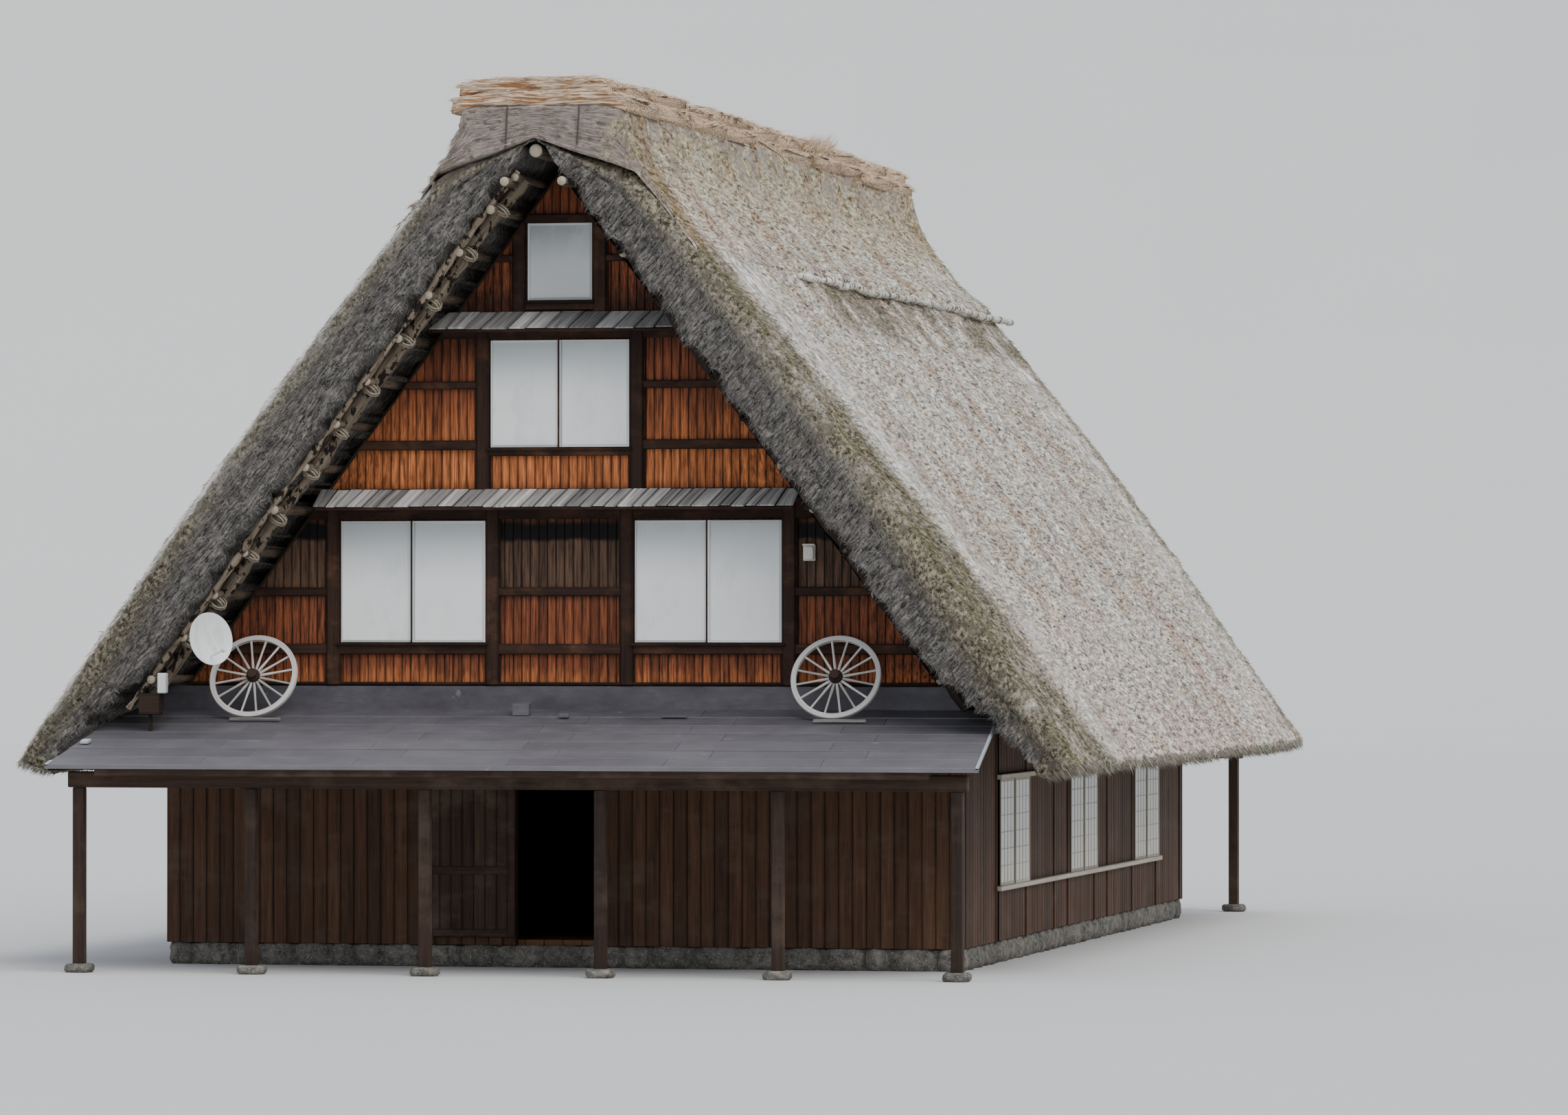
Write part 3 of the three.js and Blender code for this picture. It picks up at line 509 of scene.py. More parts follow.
# The entrance door is a sliding leaf of dark boards in a frame, drawn aside on the wall's face.
# It has a middle rail and upright battens.
(door_x0, door_y0, door_z0), (door_x1, door_y1, door_z1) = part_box("entrance_door")
DOOR_BAR = 0.09
DOOR_RAIL_BASE = 1.05
door_pairs = [((door_x0, door_y0, door_z0), (door_x0 + DOOR_BAR, door_y1, door_z1)),
              ((door_x1 - DOOR_BAR, door_y0, door_z0), (door_x1, door_y1, door_z1))]
for base in (door_z0, DOOR_RAIL_BASE, door_z1 - DOOR_BAR):
    door_pairs.append(((door_x0 + DOOR_BAR, door_y0 + 0.004, base),
                       (door_x1 - DOOR_BAR, door_y1, base + DOOR_BAR)))
door_cuts = np.linspace(door_x0 + DOOR_BAR, door_x1 - DOOR_BAR, 8)
for left, right in zip(door_cuts[:-1], door_cuts[1:]):
    door_pairs.append(((left + 0.001, door_y0 + 0.016, door_z0 + 0.01),
                       (right - 0.001, door_y1 - 0.002, door_z1 - 0.01)))
dark_timber = wood_finish("dark_timber", (35, 26, 22), (82, 62, 50), worn=(88, 72, 60))
add_piece("entrance_door_leaf", sawn(*zip(*door_pairs), 0.004), dark_timber, "entrance_door")

# Each window of the ground storey is a white paper panel on a light grid of bars, which slides
# between two tracks on the wall's outer face.
SIDE_BAR = 0.035
SIDE_RIBS = 3
SIDE_RAILS = 5
SIDE_OVER = 0.015
SIDE_DEEP = 0.014
SPLINT = 0.047


def paper_finish(name, low, high, cool, warm):
    """Paper on upright splints, going from the warm tone below to the top tone above: on the gable windows
    the darker top is painted shade under the pent. The splints show through as faint lines, with a few cloudy
    stains."""
    finish = Finish(name, 0.55)
    stains = finish.clouds((0.3, 0.3, 0.5), 4.0)
    # Darker towards the top on the gable windows: painted shade of the pent above.
    sheet = finish.over(finish.along_axis(2), low, high, warm, cool)
    sheet = finish.over(stains, 0.5, 0.9, sheet, (224, 228, 226))
    lines = finish.times(plank_lines(finish, SPLINT), finish.between(stains, 0.3, 0.7))
    finish.colour(finish.blend(finish.times(lines, 0.4), sheet, (176, 178, 172)))
    finish.relief(finish.maths("SUBTRACT", finish.clouds((0.012, 0.012, 0.12), 2.0), lines), 0.0008)
    return finish


def leaf(low, high, bar, ribs=0, rails=0):
    """One sliding leaf between two corners: bars round its edge, thin ribs and rails in front,
    and the sheet behind them. Returns the wood and the sheet as pairs of corners."""
    x0, y0, z0 = low
    x1, y1, z1 = high
    left, right, base, top, middle = x0 + bar, x1 - bar, z0 + bar, z1 - bar, (y0 + y1) / 2
    wood = [((x0, y0, z0), (left, y1, z1)), ((right, y0, z0), (x1, y1, z1)),
            ((left, y0 + 0.001, z0), (right, y1, base)), ((left, y0 + 0.001, top), (right, y1, z1))]
    for x in np.linspace(left, right, ribs + 2)[1:-1]:
        wood.append(((x - 0.004, middle - 0.005, base), (x + 0.004, middle, top)))
    for z in np.linspace(base, top, rails + 2)[1:-1]:
        wood.append(((left, middle - 0.0045, z - 0.004), (right, middle, z + 0.004)))
    return wood, ((left - 0.005, middle + 0.0005, base - 0.005), (right + 0.005, middle + 0.005, top + 0.005))


def leaves_shape(leaves):
    """Several leaves as two shapes: their wood and their sheets."""
    bars = sawn(*zip(*[pair for wood, _ in leaves for pair in wood]), 0.0025)
    return bars, sawn(*zip(*[sheet for _, sheet in leaves]), 0.001)


def stand_on_side(shape, side):
    """Turns a shape made to face -Y so that it faces out from the long wall on that side."""
    x, y, z = shape["points"].T
    return moved(shape, side * (WALL_X + 0.0245 - y), side * x, z)


side_paper = paper_finish("side_paper", 0.9, 2.1, (232, 234, 232), (216, 210, 198))
bleached = wood_finish("bleached_bars", (168, 158, 140), (212, 204, 188))
track_low, track_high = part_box("right_windows")
side_leaves = []
for low, high, base, top in SIDE_HOLES:
    middle = (low + high) / 2
    for left, right, y in ((low - 0.03, middle + 0.02, 0.0), (middle - 0.02, high + 0.03, -0.016)):
        side_leaves.append(leaf((left, y, base - SIDE_OVER), (right, y + SIDE_DEEP, top + SIDE_OVER),
                                SIDE_BAR, SIDE_RIBS, SIDE_RAILS))
side_bars, side_panes = leaves_shape(side_leaves)
side_tracks = sawn([(track_low[1], -0.036, 0.83), (track_low[1], -0.036, 2.11)],
                   [(track_high[1], 0.022, 0.89), (track_high[1], 0.022, 2.17)], 0.006)
for side, name in ((1, "right"), (-1, "left")):
    bars = stand_on_side(gather(side_bars, side_tracks), side)
    add_piece(name + "_window_bars", bars, bleached, name + "_windows")
    add_piece(name + "_window_paper", stand_on_side(side_panes, side), side_paper)

# The roof timbers are round poles with the bark off: purlins along the slopes, principal rafters under them,
# the ridge pole, and a gnarled log and brushwood at each verge, bleached and full of holes. Pale straw rope
# ties the purlins to that log, and their ends show at the verge. At the right verge the log, the brushwood
# and the rope are coloured near black, as painted shade under the thatch.
INNER_APEX = 9.33
GAP = 0.0003
COS, SIN = math.cos(PITCH), math.sin(PITCH)
PURLIN = 0.055
PURLIN_PLACES = 0.35 + 0.6 * np.arange(13)
PURLIN_REACH = {1: 8.2, -1: 8.68}
PURLIN_STEPS = 24
RAFTER = 0.09
RAFTER_YS = (-7.35, -3.675, 0.0, 3.675, 7.35)
RAFTER_TOP = 2 * PURLIN + GAP - 0.005
VERGE_LOG = 0.085
VERGE_PLACES = {1: (0.02, 8.15), -1: (0.085, 8.36)}
LOG_STEPS = 72
BRUSHWOOD = 0.065
PLATE_TOP = 2.9003
RIDGE_LOG = 0.078
ROPE = 0.012


def under_slope(along, deep):
    """The place on the right slope that lies along down from the apex and deep under the thatch's
    underside, as x and z."""
    return along * COS - deep * SIN, INNER_APEX - along * SIN - deep * COS


def poles(paths, radii, sides=10, tint=None, shut=0.012):
    """Round poles along paths (count, steps, 3). Each ring stands square to its path, turned
    about it by two crossed directions, and the last ring at each end is drawn in a little."""
    paths = np.asarray(paths, float)
    count, steps, _ = paths.shape
    radii = np.broadcast_to(radii, (count, steps)).copy()
    way = unit(np.gradient(paths, axis=1))
    first, last = way[:, :1], way[:, -1:]
    paths = np.concatenate([paths[:, :1], paths[:, :1] + first * shut, paths[:, 1:-1],
                            paths[:, -1:] - last * shut, paths[:, -1:]], axis=1)
    radii = np.concatenate([radii[:, :1] * 0.9, radii, radii[:, -1:] * 0.9], axis=1)
    way = np.concatenate([first, way, last], axis=1)
    guide = np.where(np.abs(way[..., 2:]) > 0.9, (1.0, 0.0, 0.0), (0.0, 0.0, 1.0))
    one = unit(np.cross(guide, way))
    two = np.cross(way, one)
    turn = np.linspace(0, 2 * math.pi, sides, endpoint=False)
    ring = one[:, :, None] * np.cos(turn)[:, None] + two[:, :, None] * np.sin(turn)[:, None]
    points = paths[:, :, None] + ring * radii[:, :, None, None]
    run = np.linalg.norm(np.diff(paths, axis=1), axis=-1)
    run = np.concatenate([np.zeros((count, 1)), np.cumsum(run, axis=1)], axis=1)
    run = run + chance.uniform(0, 30, (count, 1))
    around = np.minimum(turn, 2 * math.pi - turn) * radii.mean()
    grain = side_by_side(around, run[:, :, None])
    end = np.zeros((count, steps + 2, sides))
    end[:, [0, -1]] = 1
    if tint is None:
        tint = chance.random(count)
    tint = np.repeat(np.broadcast_to(tint, count), (steps + 2) * sides)
    faces = tube_faces(steps + 2, sides, count)
    return make_shape(points, faces, grain, tint=tint, end=end.ravel(), across=0.5)


def straight(start, stop, steps, crook=0.0):
    """A path between two places that wanders by up to crook off its line."""
    share = np.linspace(0, 1, steps)[:, None]
    path = np.array(start) * (1 - share) + np.array(stop) * share
    wander = np.stack([lumps(path + 7 * number, 0.7, number) for number in (1, 2, 3)], axis=-1)
    return path + (wander - 0.5) * 2 * crook


def pole_finish(name, dark, pale, cut, holes=None):
    """A weathered pole: long cracks and fibres, pale end grain, and dark hollows where holes
    gives their colour."""
    finish = Finish(name, 0.8)
    fibres = finish.fibres(0.014, 0.4)
    side = finish.over(fibres, 0.35, 0.65, dark, pale)
    side = finish.over(finish.clouds(0.25), 0.45, 0.7, side, finish.blend(0.5, dark, pale))
    side = finish.shaded(side, finish.tinted(0.75, 1.25))
    if holes:
        side = finish.over(finish.clouds((0.09, 0.09, 0.14), 4.0, 2.0), 0.52, 0.58, side, holes)
    rings = finish.blend(finish.clouds(0.02, 3.0), cut, pale)
    finish.colour(finish.blend(finish.mark("end"), side, rings))
    finish.relief(fibres, 0.004)
    return finish


def rope_finish(name, wide, long, dark, pale, depth):
    """Straw rope, whose twist shows as short dark and pale marks along it."""
    finish = Finish(name, 0.9)
    twist = finish.fibres(wide, long, 2.0)
    finish.colour(finish.blend(twist, dark, pale))
    finish.relief(twist, depth)
    return finish


def lashing(along, deep, y, side):
    """Two crossed loops of rope round a purlin and the log beside it: each is an ellipse whose
    long axis stands square to the slope, run through twice while it drifts to one side."""
    turn = np.linspace(0, 4.4 * math.pi, 26)[:, None]
    x, z = under_slope(along, deep)
    out = np.array([SIN, 0.0, COS])
    loops = []
    for slant in (-1, 1):
        wide = np.array([COS * 0.6, slant * 0.8, -SIN * 0.6]) * chance.uniform(0.06, 0.1)
        drift = np.array([COS, -slant, -SIN]) * 0.024 * (turn / 6 - 1)
        path = np.array([x, y, z]) + out * np.cos(turn) * chance.uniform(0.08, 0.105)
        loops.append((path + wide * np.sin(turn) + drift) * (side, 1, 1))
    return loops


old_pole = pole_finish("old_poles", (62, 52, 43), (134, 120, 102), (206, 194, 170))
verge_wood = pole_finish("verge_logs", (78, 64, 51), (176, 160, 138), (190, 180, 160), (34, 25, 19))
# A near-black copy of the verge logs for the right side: painted shade under the thatch.
shaded_wood = pole_finish("shaded_logs", (24, 19, 16), (58, 48, 40), (76, 66, 56))
rope = rope_finish("straw_rope", 0.012, 0.02, (104, 92, 78), (186, 174, 154), 0.004)
# On the right, the verge logs and the lashings take the near-black copy, as painted shade.
for side, name, log_finish, rope_look in (
        (1, "right", shaded_wood, shaded_wood), (-1, "left", verge_wood, rope)):
    purlins, thickness = [], []
    for along in (0.5, *PURLIN_PLACES[1:]):
        x, z = under_slope(along, PURLIN + GAP)
        ends = PURLIN_REACH[side] * np.array([-1, 1]) + chance.uniform(-0.05, 0.05, 2)
        purlins.append(straight((side * x, ends[0], z), (side * x, ends[1], z), PURLIN_STEPS, 0.006))
        thickness.append(np.linspace(*chance.uniform(0.84, 1.0, 2), PURLIN_STEPS) * PURLIN)
    log_deep, log_y = VERGE_PLACES[side]
    made = []
    for deep, start, places, steps, crook in (
            (RAFTER_TOP + RAFTER, 0.03, RAFTER_YS, PURLIN_STEPS, 0.008),
            (log_deep, 0.24, (-log_y, log_y), LOG_STEPS, 0.05),
            (log_deep - 0.05, 0.24, (-log_y - 0.3, log_y + 0.3), LOG_STEPS, 0.04)):
        head = under_slope((start + deep * SIN) / COS, deep)
        foot = under_slope((INNER_APEX - PLATE_TOP - 0.03 - deep * COS) / SIN, deep)
        made.append([straight((side * foot[0], y, foot[1]), (side * head[0], y, head[1]), steps, crook)
                     for y in places])
    rafters, logs, brush = made
    log_radii = VERGE_LOG * (0.62 + 0.6 * lumps(np.array(logs), 0.2, 11))
    brush_radii = BRUSHWOOD * lumps(np.array(brush), 0.13, 12)
    stubs = [straight((side * 0.33, y * 8.4, 8.84), (side * 0.33, y * 8.86, 8.84), 4) for y in (-1, 1)]
    timbers = gather(poles(purlins, thickness), poles(rafters, RAFTER * 0.97), poles(stubs, 0.055))
    add_piece("roof_poles_" + name, timbers, old_pole, "roof_frame_" + name, smooth=True)
    verge = gather(poles(logs, log_radii), poles(brush, brush_radii))
    add_piece("verge_logs_" + name, verge, log_finish, smooth=True)
    loops = [loop for along in PURLIN_PLACES[1:] + chance.uniform(-0.1, 0.1, 12)
             for y in (-log_y - 0.12, log_y + 0.12)
             for loop in lashing(along, log_deep - 0.02 * side, y, side)]
    add_piece("lashings_" + name, poles(loops, ROPE, 5, shut=0.003), rope_look, smooth=True)

ridge_low, ridge_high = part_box("ridge_pole")
ridge_z = (ridge_low[2] + ridge_high[2]) / 2
ridge_path = straight((0, ridge_low[1], ridge_z), (0, ridge_high[1], ridge_z), PURLIN_STEPS, 0.005)
ridge_log = poles([ridge_path], RIDGE_LOG, 14, 0.3)
add_piece("ridge_pole_log", ridge_log, old_pole, "ridge_pole", smooth=True)

# The thatch is susuki grass about 0.7 m thick on each slope, laid in courses from the eave up,
# butts downwards. Its cut ends make the dark faces at the verges and the eave, and weather
# has turned the slopes silver grey with moss along the verges.
ROOF_END = 8.8
THATCH = 0.7
EDGE = 0.24
TIP = (6.13, 2.3)
HEEL = (5.71, 2.2)
BREAK = ((5.14, 2.83), (4.6, 3.217))
SHOULDER = (1.15, 8.936)
SWELL = 0.1
ARCH = ((0.9, 9.03), (0.45, 9.17), (0.004, 9.325))
SLOPE_ROWS = 176
SLOPE_STEPS = 220
FACE_STEPS = 16
TURN_STEPS = 5
POLE_X = 1.93
POLE_START = -3.84
FLECK_LEAN = math.radians(50)
RIDGE_HEIGHTS = (8.1, 8.4, 8.72, 9.0, 9.3, 9.7)
RIDGE_SHARES = (0, 0.08, 0.1, 0.17, 0.24, 0.26)


def along_line(points, count, soften):
    """count places spread evenly along a line through points, with its corners softened by
    averaging each place with its neighbours a few times."""
    points = np.asarray(points, float)
    run = np.concatenate([[0], np.cumsum(np.linalg.norm(np.diff(points, axis=0), axis=1))])
    even = np.linspace(0, run[-1], count)
    line = np.stack([np.interp(even, run, axis) for axis in points.T], axis=-1)
    for _ in range(soften):
        line[1:-1] = (line[:-2] + 2 * line[1:-1] + line[2:]) / 4
    return line


def verge_ring(front, rear, edge, thick, face_steps, top_steps):
    """The ring of a straw sheet: up its front face, round its upper edge, back along its outer
    face and down its rear face. Gives each point's y, its share of the way from the outer line
    to the inner one, and how far it is turned towards the end faces, 0 to 1. Steps along the
    outer face are half as long near the ends: y goes as 1.25 t - 0.25 t * t * t."""
    face = np.linspace(1.0, edge / thick, face_steps)
    turn = np.linspace(0, math.pi / 2, TURN_STEPS + 2)[1:-1]
    t = np.linspace(-1, 1, top_steps)
    middle, half = (front + rear) / 2, (rear - front) / 2
    top = middle + (1.25 * t - 0.25 * t ** 3) * (half - edge)
    up = np.concatenate([np.full(face_steps, front), front + edge * (1 - np.cos(turn))])
    deep = np.concatenate([face, edge / thick * (1 - np.sin(turn))])
    lean = np.concatenate([np.ones(face_steps), 1 - 2 * turn / math.pi])
    ys = np.concatenate([up, top, front + rear - up[::-1]])
    depths = np.concatenate([deep, np.zeros(top_steps), deep[::-1]])
    return ys, depths, np.concatenate([lean, np.zeros(top_steps), lean[::-1]])


def straw_sheet(outer, inner, ys, depths):
    """Points (rows, ring, 3) of a sheet of straw that is carried along two lines of x and z."""
    section = outer[:, None] + (inner - outer)[:, None] * depths[None, :, None]
    return side_by_side(section[..., 0], ys, section[..., 1])


def ways_out(grid):
    """The outward direction at each point of a sheet: the cross product of the step round the
    ring and the step along the rows."""
    return unit(np.cross(np.gradient(grid, axis=1), np.gradient(grid, axis=0)), 1e-12)


def stretched(along, across, length, width, seed):
    """Soft lumps that are length long and width wide on a surface with those two coordinates."""
    return lumps(side_by_side(along / length, across / width, 0.0), 1.0, seed)


def down_rows(grid):
    """How far each point lies along the sheet's rows, in metres."""
    return np.cumsum(np.pad(np.linalg.norm(np.diff(grid, axis=0), axis=-1), [(1, 0), (0, 0)]), axis=0)


def drawn_in(points):
    """Narrows the ridge towards the rear: x loses a share that grows with height, from nothing
    at the front gable to all of it at the rear one."""
    share = held(points[..., 1] / (2 * ROOF_END) + 0.5)
    points = points.copy()
    points[..., 0] *= 1 - share * np.interp(points[..., 2], RIDGE_HEIGHTS, RIDGE_SHARES)
    return points


share = np.linspace(0, 1, 60)
face_x = TIP[0] + (SHOULDER[0] - TIP[0]) * share + SWELL * np.sin(math.pi * share) * SIN
face_z = TIP[1] + (SHOULDER[1] - TIP[1]) * share + SWELL * np.sin(math.pi * share) * COS
outer_line = along_line([HEEL, *zip(face_x, face_z), *ARCH], SLOPE_ROWS, 2)
inner_line = along_line([(HEEL[0] - 0.03, HEEL[1] + 0.03), *BREAK, (0.004, 9.30)], SLOPE_ROWS, 2)
slope_ys, slope_depths, slope_lean = verge_ring(-ROOF_END, ROOF_END, EDGE, THATCH, FACE_STEPS, SLOPE_STEPS)
smooth_slope = straw_sheet(outer_line, inner_line, slope_ys, slope_depths)
slope_out = ways_out(smooth_slope)
slope_down = down_rows(smooth_slope)
slope_down = slope_down[-1:] - slope_down
sheet_x, sheet_y, sheet_z = np.moveaxis(smooth_slope, -1, 0)
deep = slope_depths[None] * THATCH + 0 * slope_down
lean = slope_lean[None] + 0 * slope_down

# On the slope: broad dips, tufts and short flecks. Above the pole on the slope the newer thatch
# stands proud of the older.
on_slope = bumps(smooth_slope, (0.05, 1.3, 21, 0.6), (0.03, 0.34, 22, 0.5))
on_slope += 0.02 * (stretched(slope_down, sheet_y, 0.2, 0.08, 23) - 0.5)
on_slope += bumps(smooth_slope, (0.024, 0.08, 24, 0.5))
above_pole = POLE_X - 0.05 + bumps(smooth_slope, (0.09, 0.3, 25, 0.5)) - sheet_x
past_start = held((sheet_y - POLE_START) / 0.5)
on_slope += 0.06 * held(above_pole / 0.06) * past_start * held((sheet_x - 1.0) / 0.2)

# On the end faces: flecks, a few soft cracks between the courses, and a ragged inner edge that
# stands a little back.
on_face = bumps(smooth_slope, (0.03, 0.1, 31, 0.5), (0.03, 0.05, 33, 0.5), (0.05, 0.28, 32, 0.7))
for depth, wander, seed in ((0.25, 0.1, 34), (0.45, 0.12, 35)):
    middle = depth + wander * (stretched(slope_down, 0 * deep, 1.1, 1.0, seed) - 0.5)
    broken = held(3 * lumps(smooth_slope, 0.8, seed + 5) - 1.5)
    on_face -= 0.04 * broken * np.exp(-((deep - middle) / 0.02) ** 2)
height = on_slope * (1 - lean) + on_face * lean
height = np.where(deep > THATCH - 0.03, height * 0.4, height)
ragged = 0.07 + bumps(smooth_slope, (0.12, 0.1, 37, 0.5), (0.06, 0.4, 38, 0.5))
right_slope = smooth_slope + slope_out * height[..., None]
right_slope += (SIN, 0, COS) * (ragged * lean * held(deep / THATCH) ** 2)[..., None]
right_slope[..., 0] = np.clip(right_slope[..., 0], 0.003, TIP[0] - 0.004)
right_slope[..., 1] = np.clip(right_slope[..., 1], -ROOF_END - 0.05, ROOF_END + 0.05)
right_slope = drawn_in(right_slope)

# Moss grows beside the front verges and on the foot of the end faces. Under the pole, the moss and foot marks
# also carry painted shadow of the thatch that steps out above it: dark olive-brown streaks and a pinker tone.
# Beyond the moss the straw is bleached, and the foot of each slope is pinker.
verge_distance = ROOF_END - np.abs(sheet_y) + bumps(smooth_slope, (0.4, 0.35, 44, 0.5))
moss_reach = np.interp(sheet_z, (2.2, 4.0, 6.0, 8.2, 9.2), (2.9, 2.4, 1.9, 1.3, 0.8))
moss_reach = np.where(sheet_y < 0, moss_reach, 0.6)
face_moss = held((np.interp(sheet_z, (2.2, 5.5), (0.56, 0.3)) - deep) / 0.2)
moss = held((moss_reach - verge_distance) / 0.6) * (1 - lean) + lean * face_moss
# Under the pole the moss mark also carries painted shadow of the step above it: dark olive-brown streaks.
below_pole = held(1 - (sheet_x - POLE_X) / 0.6) * (sheet_x > POLE_X) * past_start
moss = np.maximum(moss, np.clip(below_pole * (5 * lumps(smooth_slope, 0.4, 45) - 1.5), 0, 0.9))
moss *= held(1.6 * lumps(smooth_slope, 0.5, 41) + 1.4 * lumps(smooth_slope, 0.1, 42) - 0.35)
bleach = held((verge_distance - moss_reach) / 0.3) * held((moss_reach + 1.6 - verge_distance) / 1.0)
bleach *= (1 - lean) * np.interp(sheet_z, (4.0, 6.5), (0.4, 1.0))
bleach *= held(2 * lumps(smooth_slope, 0.4, 43) - 0.1)
foot_pink_and_pole_shadow = held((2.6 - (sheet_z - TIP[1])) / 2.6)
# The pinker tone under the pole is painted shadow of the step above it.
foot_pink_and_pole_shadow += held(1 - (sheet_x - POLE_X) / 0.5) * (sheet_x > POLE_X - 0.05) * past_start
foot_pink_and_pole_shadow *= (1 - lean)
slope_grain = side_by_side(sheet_y + np.sign(sheet_y) * deep, slope_down)


def slope_look(finish, reach=1.0):
    """The colour and the height of a weathered slope: flecks of beige, pink and cool grey, which
    are longer along the ridge by reach, pinker where the foot mark says, with small dark holes,
    streaks that run down the slope and a duller top."""
    tufts = finish.clouds((0.055, 0.24 * reach, 0.055), 7.0)
    flecks = finish.clouds((0.024, 0.11 * reach, 0.042), 4.0, 8.0)
    specks = finish.clouds((0.045, 0.2 * reach, 0.06), 3.0, 6.0)
    clouds = finish.clouds((0.9, 1.8, 0.9))
    mixed = finish.weigh(tufts, 0.55, flecks, 0.45)
    light = finish.between(mixed, 0.4, 0.6)
    beige = finish.blend(light, (104, 93, 76), (246, 236, 216))
    pink = finish.blend(light, (112, 94, 86), (250, 230, 218))
    cool = finish.blend(light, (106, 103, 96), (244, 242, 234))
    colour = finish.over(finish.clouds((0.1, 0.5 * reach, 0.16), 5.0, 3.0), 0.44, 0.58, beige, cool)
    colour = finish.blend(finish.times(finish.mark("foot"), finish.between(clouds, 0.4, 0.6)), colour, pink)
    colour = finish.over(clouds, 0.58, 0.8, colour, beige)
    colour = finish.over(specks, 0.6, 0.68, colour, (84, 78, 68))
    runs = finish.clouds((2.4, 0.7, 2.4), 6.0)
    colour = finish.over(runs, 0.46, 0.62, colour, finish.stained(colour, (222, 206, 200)))
    colour = finish.over(finish.along_axis(2), 7.9, 9.0, colour, finish.stained(colour, (230, 225, 208)))
    return colour, finish.maths("ADD", mixed, finish.times(specks, -0.4))


def thatch_finish(name, reach):
    """Old thatch: flecked slopes with a bleached strip beside each verge; end faces in grey with short stems
    that lean one way; olive-brown moss, and painted shadow streaks under the pole, where the moss mark says."""
    finish = Finish(name, 0.95, 0.1)
    verge, mossy = finish.mark("verge"), finish.mark("moss")
    silver, slope_height = slope_look(finish, reach)
    bleached = finish.over(finish.fibres(0.12, 0.3), 0.42, 0.58, (150, 142, 130), (252, 248, 242))
    silver = finish.blend(finish.mark("bleach"), silver, bleached)
    turn = (0.0, FLECK_LEAN - math.pi / 2, 0.0)
    leaning = finish.step("Mapping", {"Vector": finish.place(), "Rotation": turn})
    stems = finish.noise(leaning, (0.022, 0.03, 0.13), 7.0, 4.0)
    tufts = finish.noise(leaning, (0.12, 0.16, 0.3), 6.0, 0.0)
    specks = finish.clouds(0.028, 3.0)
    face = finish.over(stems, 0.36, 0.64, (50, 47, 45), (150, 145, 138))
    face = finish.over(tufts, 0.5, 0.65, face, finish.shaded(face, 0.62))
    face = finish.over(tufts, 0.42, 0.3, face, (118, 112, 102))
    fuzz = finish.clouds((0.04, 0.16, 0.05), 5.0, 2.0)
    green = finish.over(fuzz, 0.4, 0.6, (58, 52, 42), (158, 149, 128))
    green = finish.over(tufts, 0.5, 0.62, green, (104, 97, 84))
    colour = finish.blend(mossy, finish.blend(verge, silver, face), green)
    holes = finish.times(finish.between(specks, 0.58, 0.66), finish.maths("MAXIMUM", verge, mossy))
    finish.colour(finish.blend(holes, colour, (44, 40, 36)))
    face_height = finish.weigh(stems, 0.6, specks, -0.35)
    finish.relief(finish.step("Mix", {0: verge, 2: slope_height, 3: face_height}), 0.05)
    return finish


def scatter(grid, out, count, rows, ring):
    """Random places on a sheet between two rows and two ring places, each mixed from the four
    points around it, with the outward and the down-row direction there."""
    row = chance.uniform(rows[0], rows[1] - 1.001, count)
    column = chance.uniform(ring[0], ring[1] - 1.001, count)
    i, j = row.astype(int), column.astype(int)
    fi, fj = (row - i)[:, None], (column - j)[:, None]
    low = grid[i, j] * (1 - fj) + grid[i, j + 1] * fj
    high = grid[i + 1, j] * (1 - fj) + grid[i + 1, j + 1] * fj
    return low * (1 - fi) + high * fi, out[i, j], unit(low - high, 1e-9), (i, j)


def draw(low, high, places):
    """A random number between low and high for each place, as a column."""
    return chance.uniform(low, high, (len(places), 1))


def straws(roots, reach, width, tint=None, bright=1.0, power=1.0, **marks):
    """Loose stems: each is a spike on a three-sided foot, from its root to root plus reach. A pair
    of widths is drawn between. A tint that isn't given is a random number raised to power, times
    bright."""
    count = len(roots)
    width = np.broadcast_to(chance.uniform(*width, count) if isinstance(width, tuple) else width, count)
    if tint is None:
        tint = chance.random(count) ** power * bright
    way = unit(reach)
    side = unit(np.cross(way, chance.normal(size=way.shape)))
    other = np.cross(way, side)
    foot = [roots + width[:, None] * (side * math.cos(turn) + other * math.sin(turn))
            for turn in (0.0, 2.0944, 4.18879)]
    points = np.stack([*foot, roots + reach], axis=1)
    faces = np.array([(0, 1, 3), (1, 2, 3), (2, 0, 3), (0, 2, 1)])
    faces = (faces + np.arange(count)[:, None, None] * 4).reshape(-1, 3)
    length = np.linalg.norm(reach, axis=-1)
    shift = chance.uniform(0, 9, (count, 1))
    run = np.stack([0 * length] * 3 + [length], axis=1) + shift
    grain = side_by_side(shift * 3, run)
    marks["tint"] = tint
    each = {key: np.repeat(np.broadcast_to(value, count), 4) for key, value in marks.items()}
    return make_shape(points, [faces], grain, **each)


def straw_finish(name, dark, pale):
    """Loose stems, each in its own shade between two colours."""
    finish = Finish(name, 0.9, 0.15)
    shade = finish.weigh(finish.mark("tint"), 0.75, finish.fibres(0.5, 0.05, 3.0), 0.25)
    colour = finish.blend(shade, dark, pale)
    colour = finish.blend(finish.mark("moss"), colour, finish.blend(shade, (84, 78, 48), (150, 142, 102)))
    dim = finish.blend(shade, (50, 47, 46), (124, 119, 114))
    finish.colour(finish.blend(finish.mark("verge"), colour, dim))
    return finish


EDGE_BAND = FACE_STEPS + TURN_STEPS
RING_COUNT = len(slope_ys)
TIP_ROW = 7
SADDLE_ROW = 144
STUBBLE, WHISKERS, BRISTLES, INNER_STRAWS, FRINGE = 11000, 3600, 4200, 1500, 4200
STEM = (0.003, 0.007)


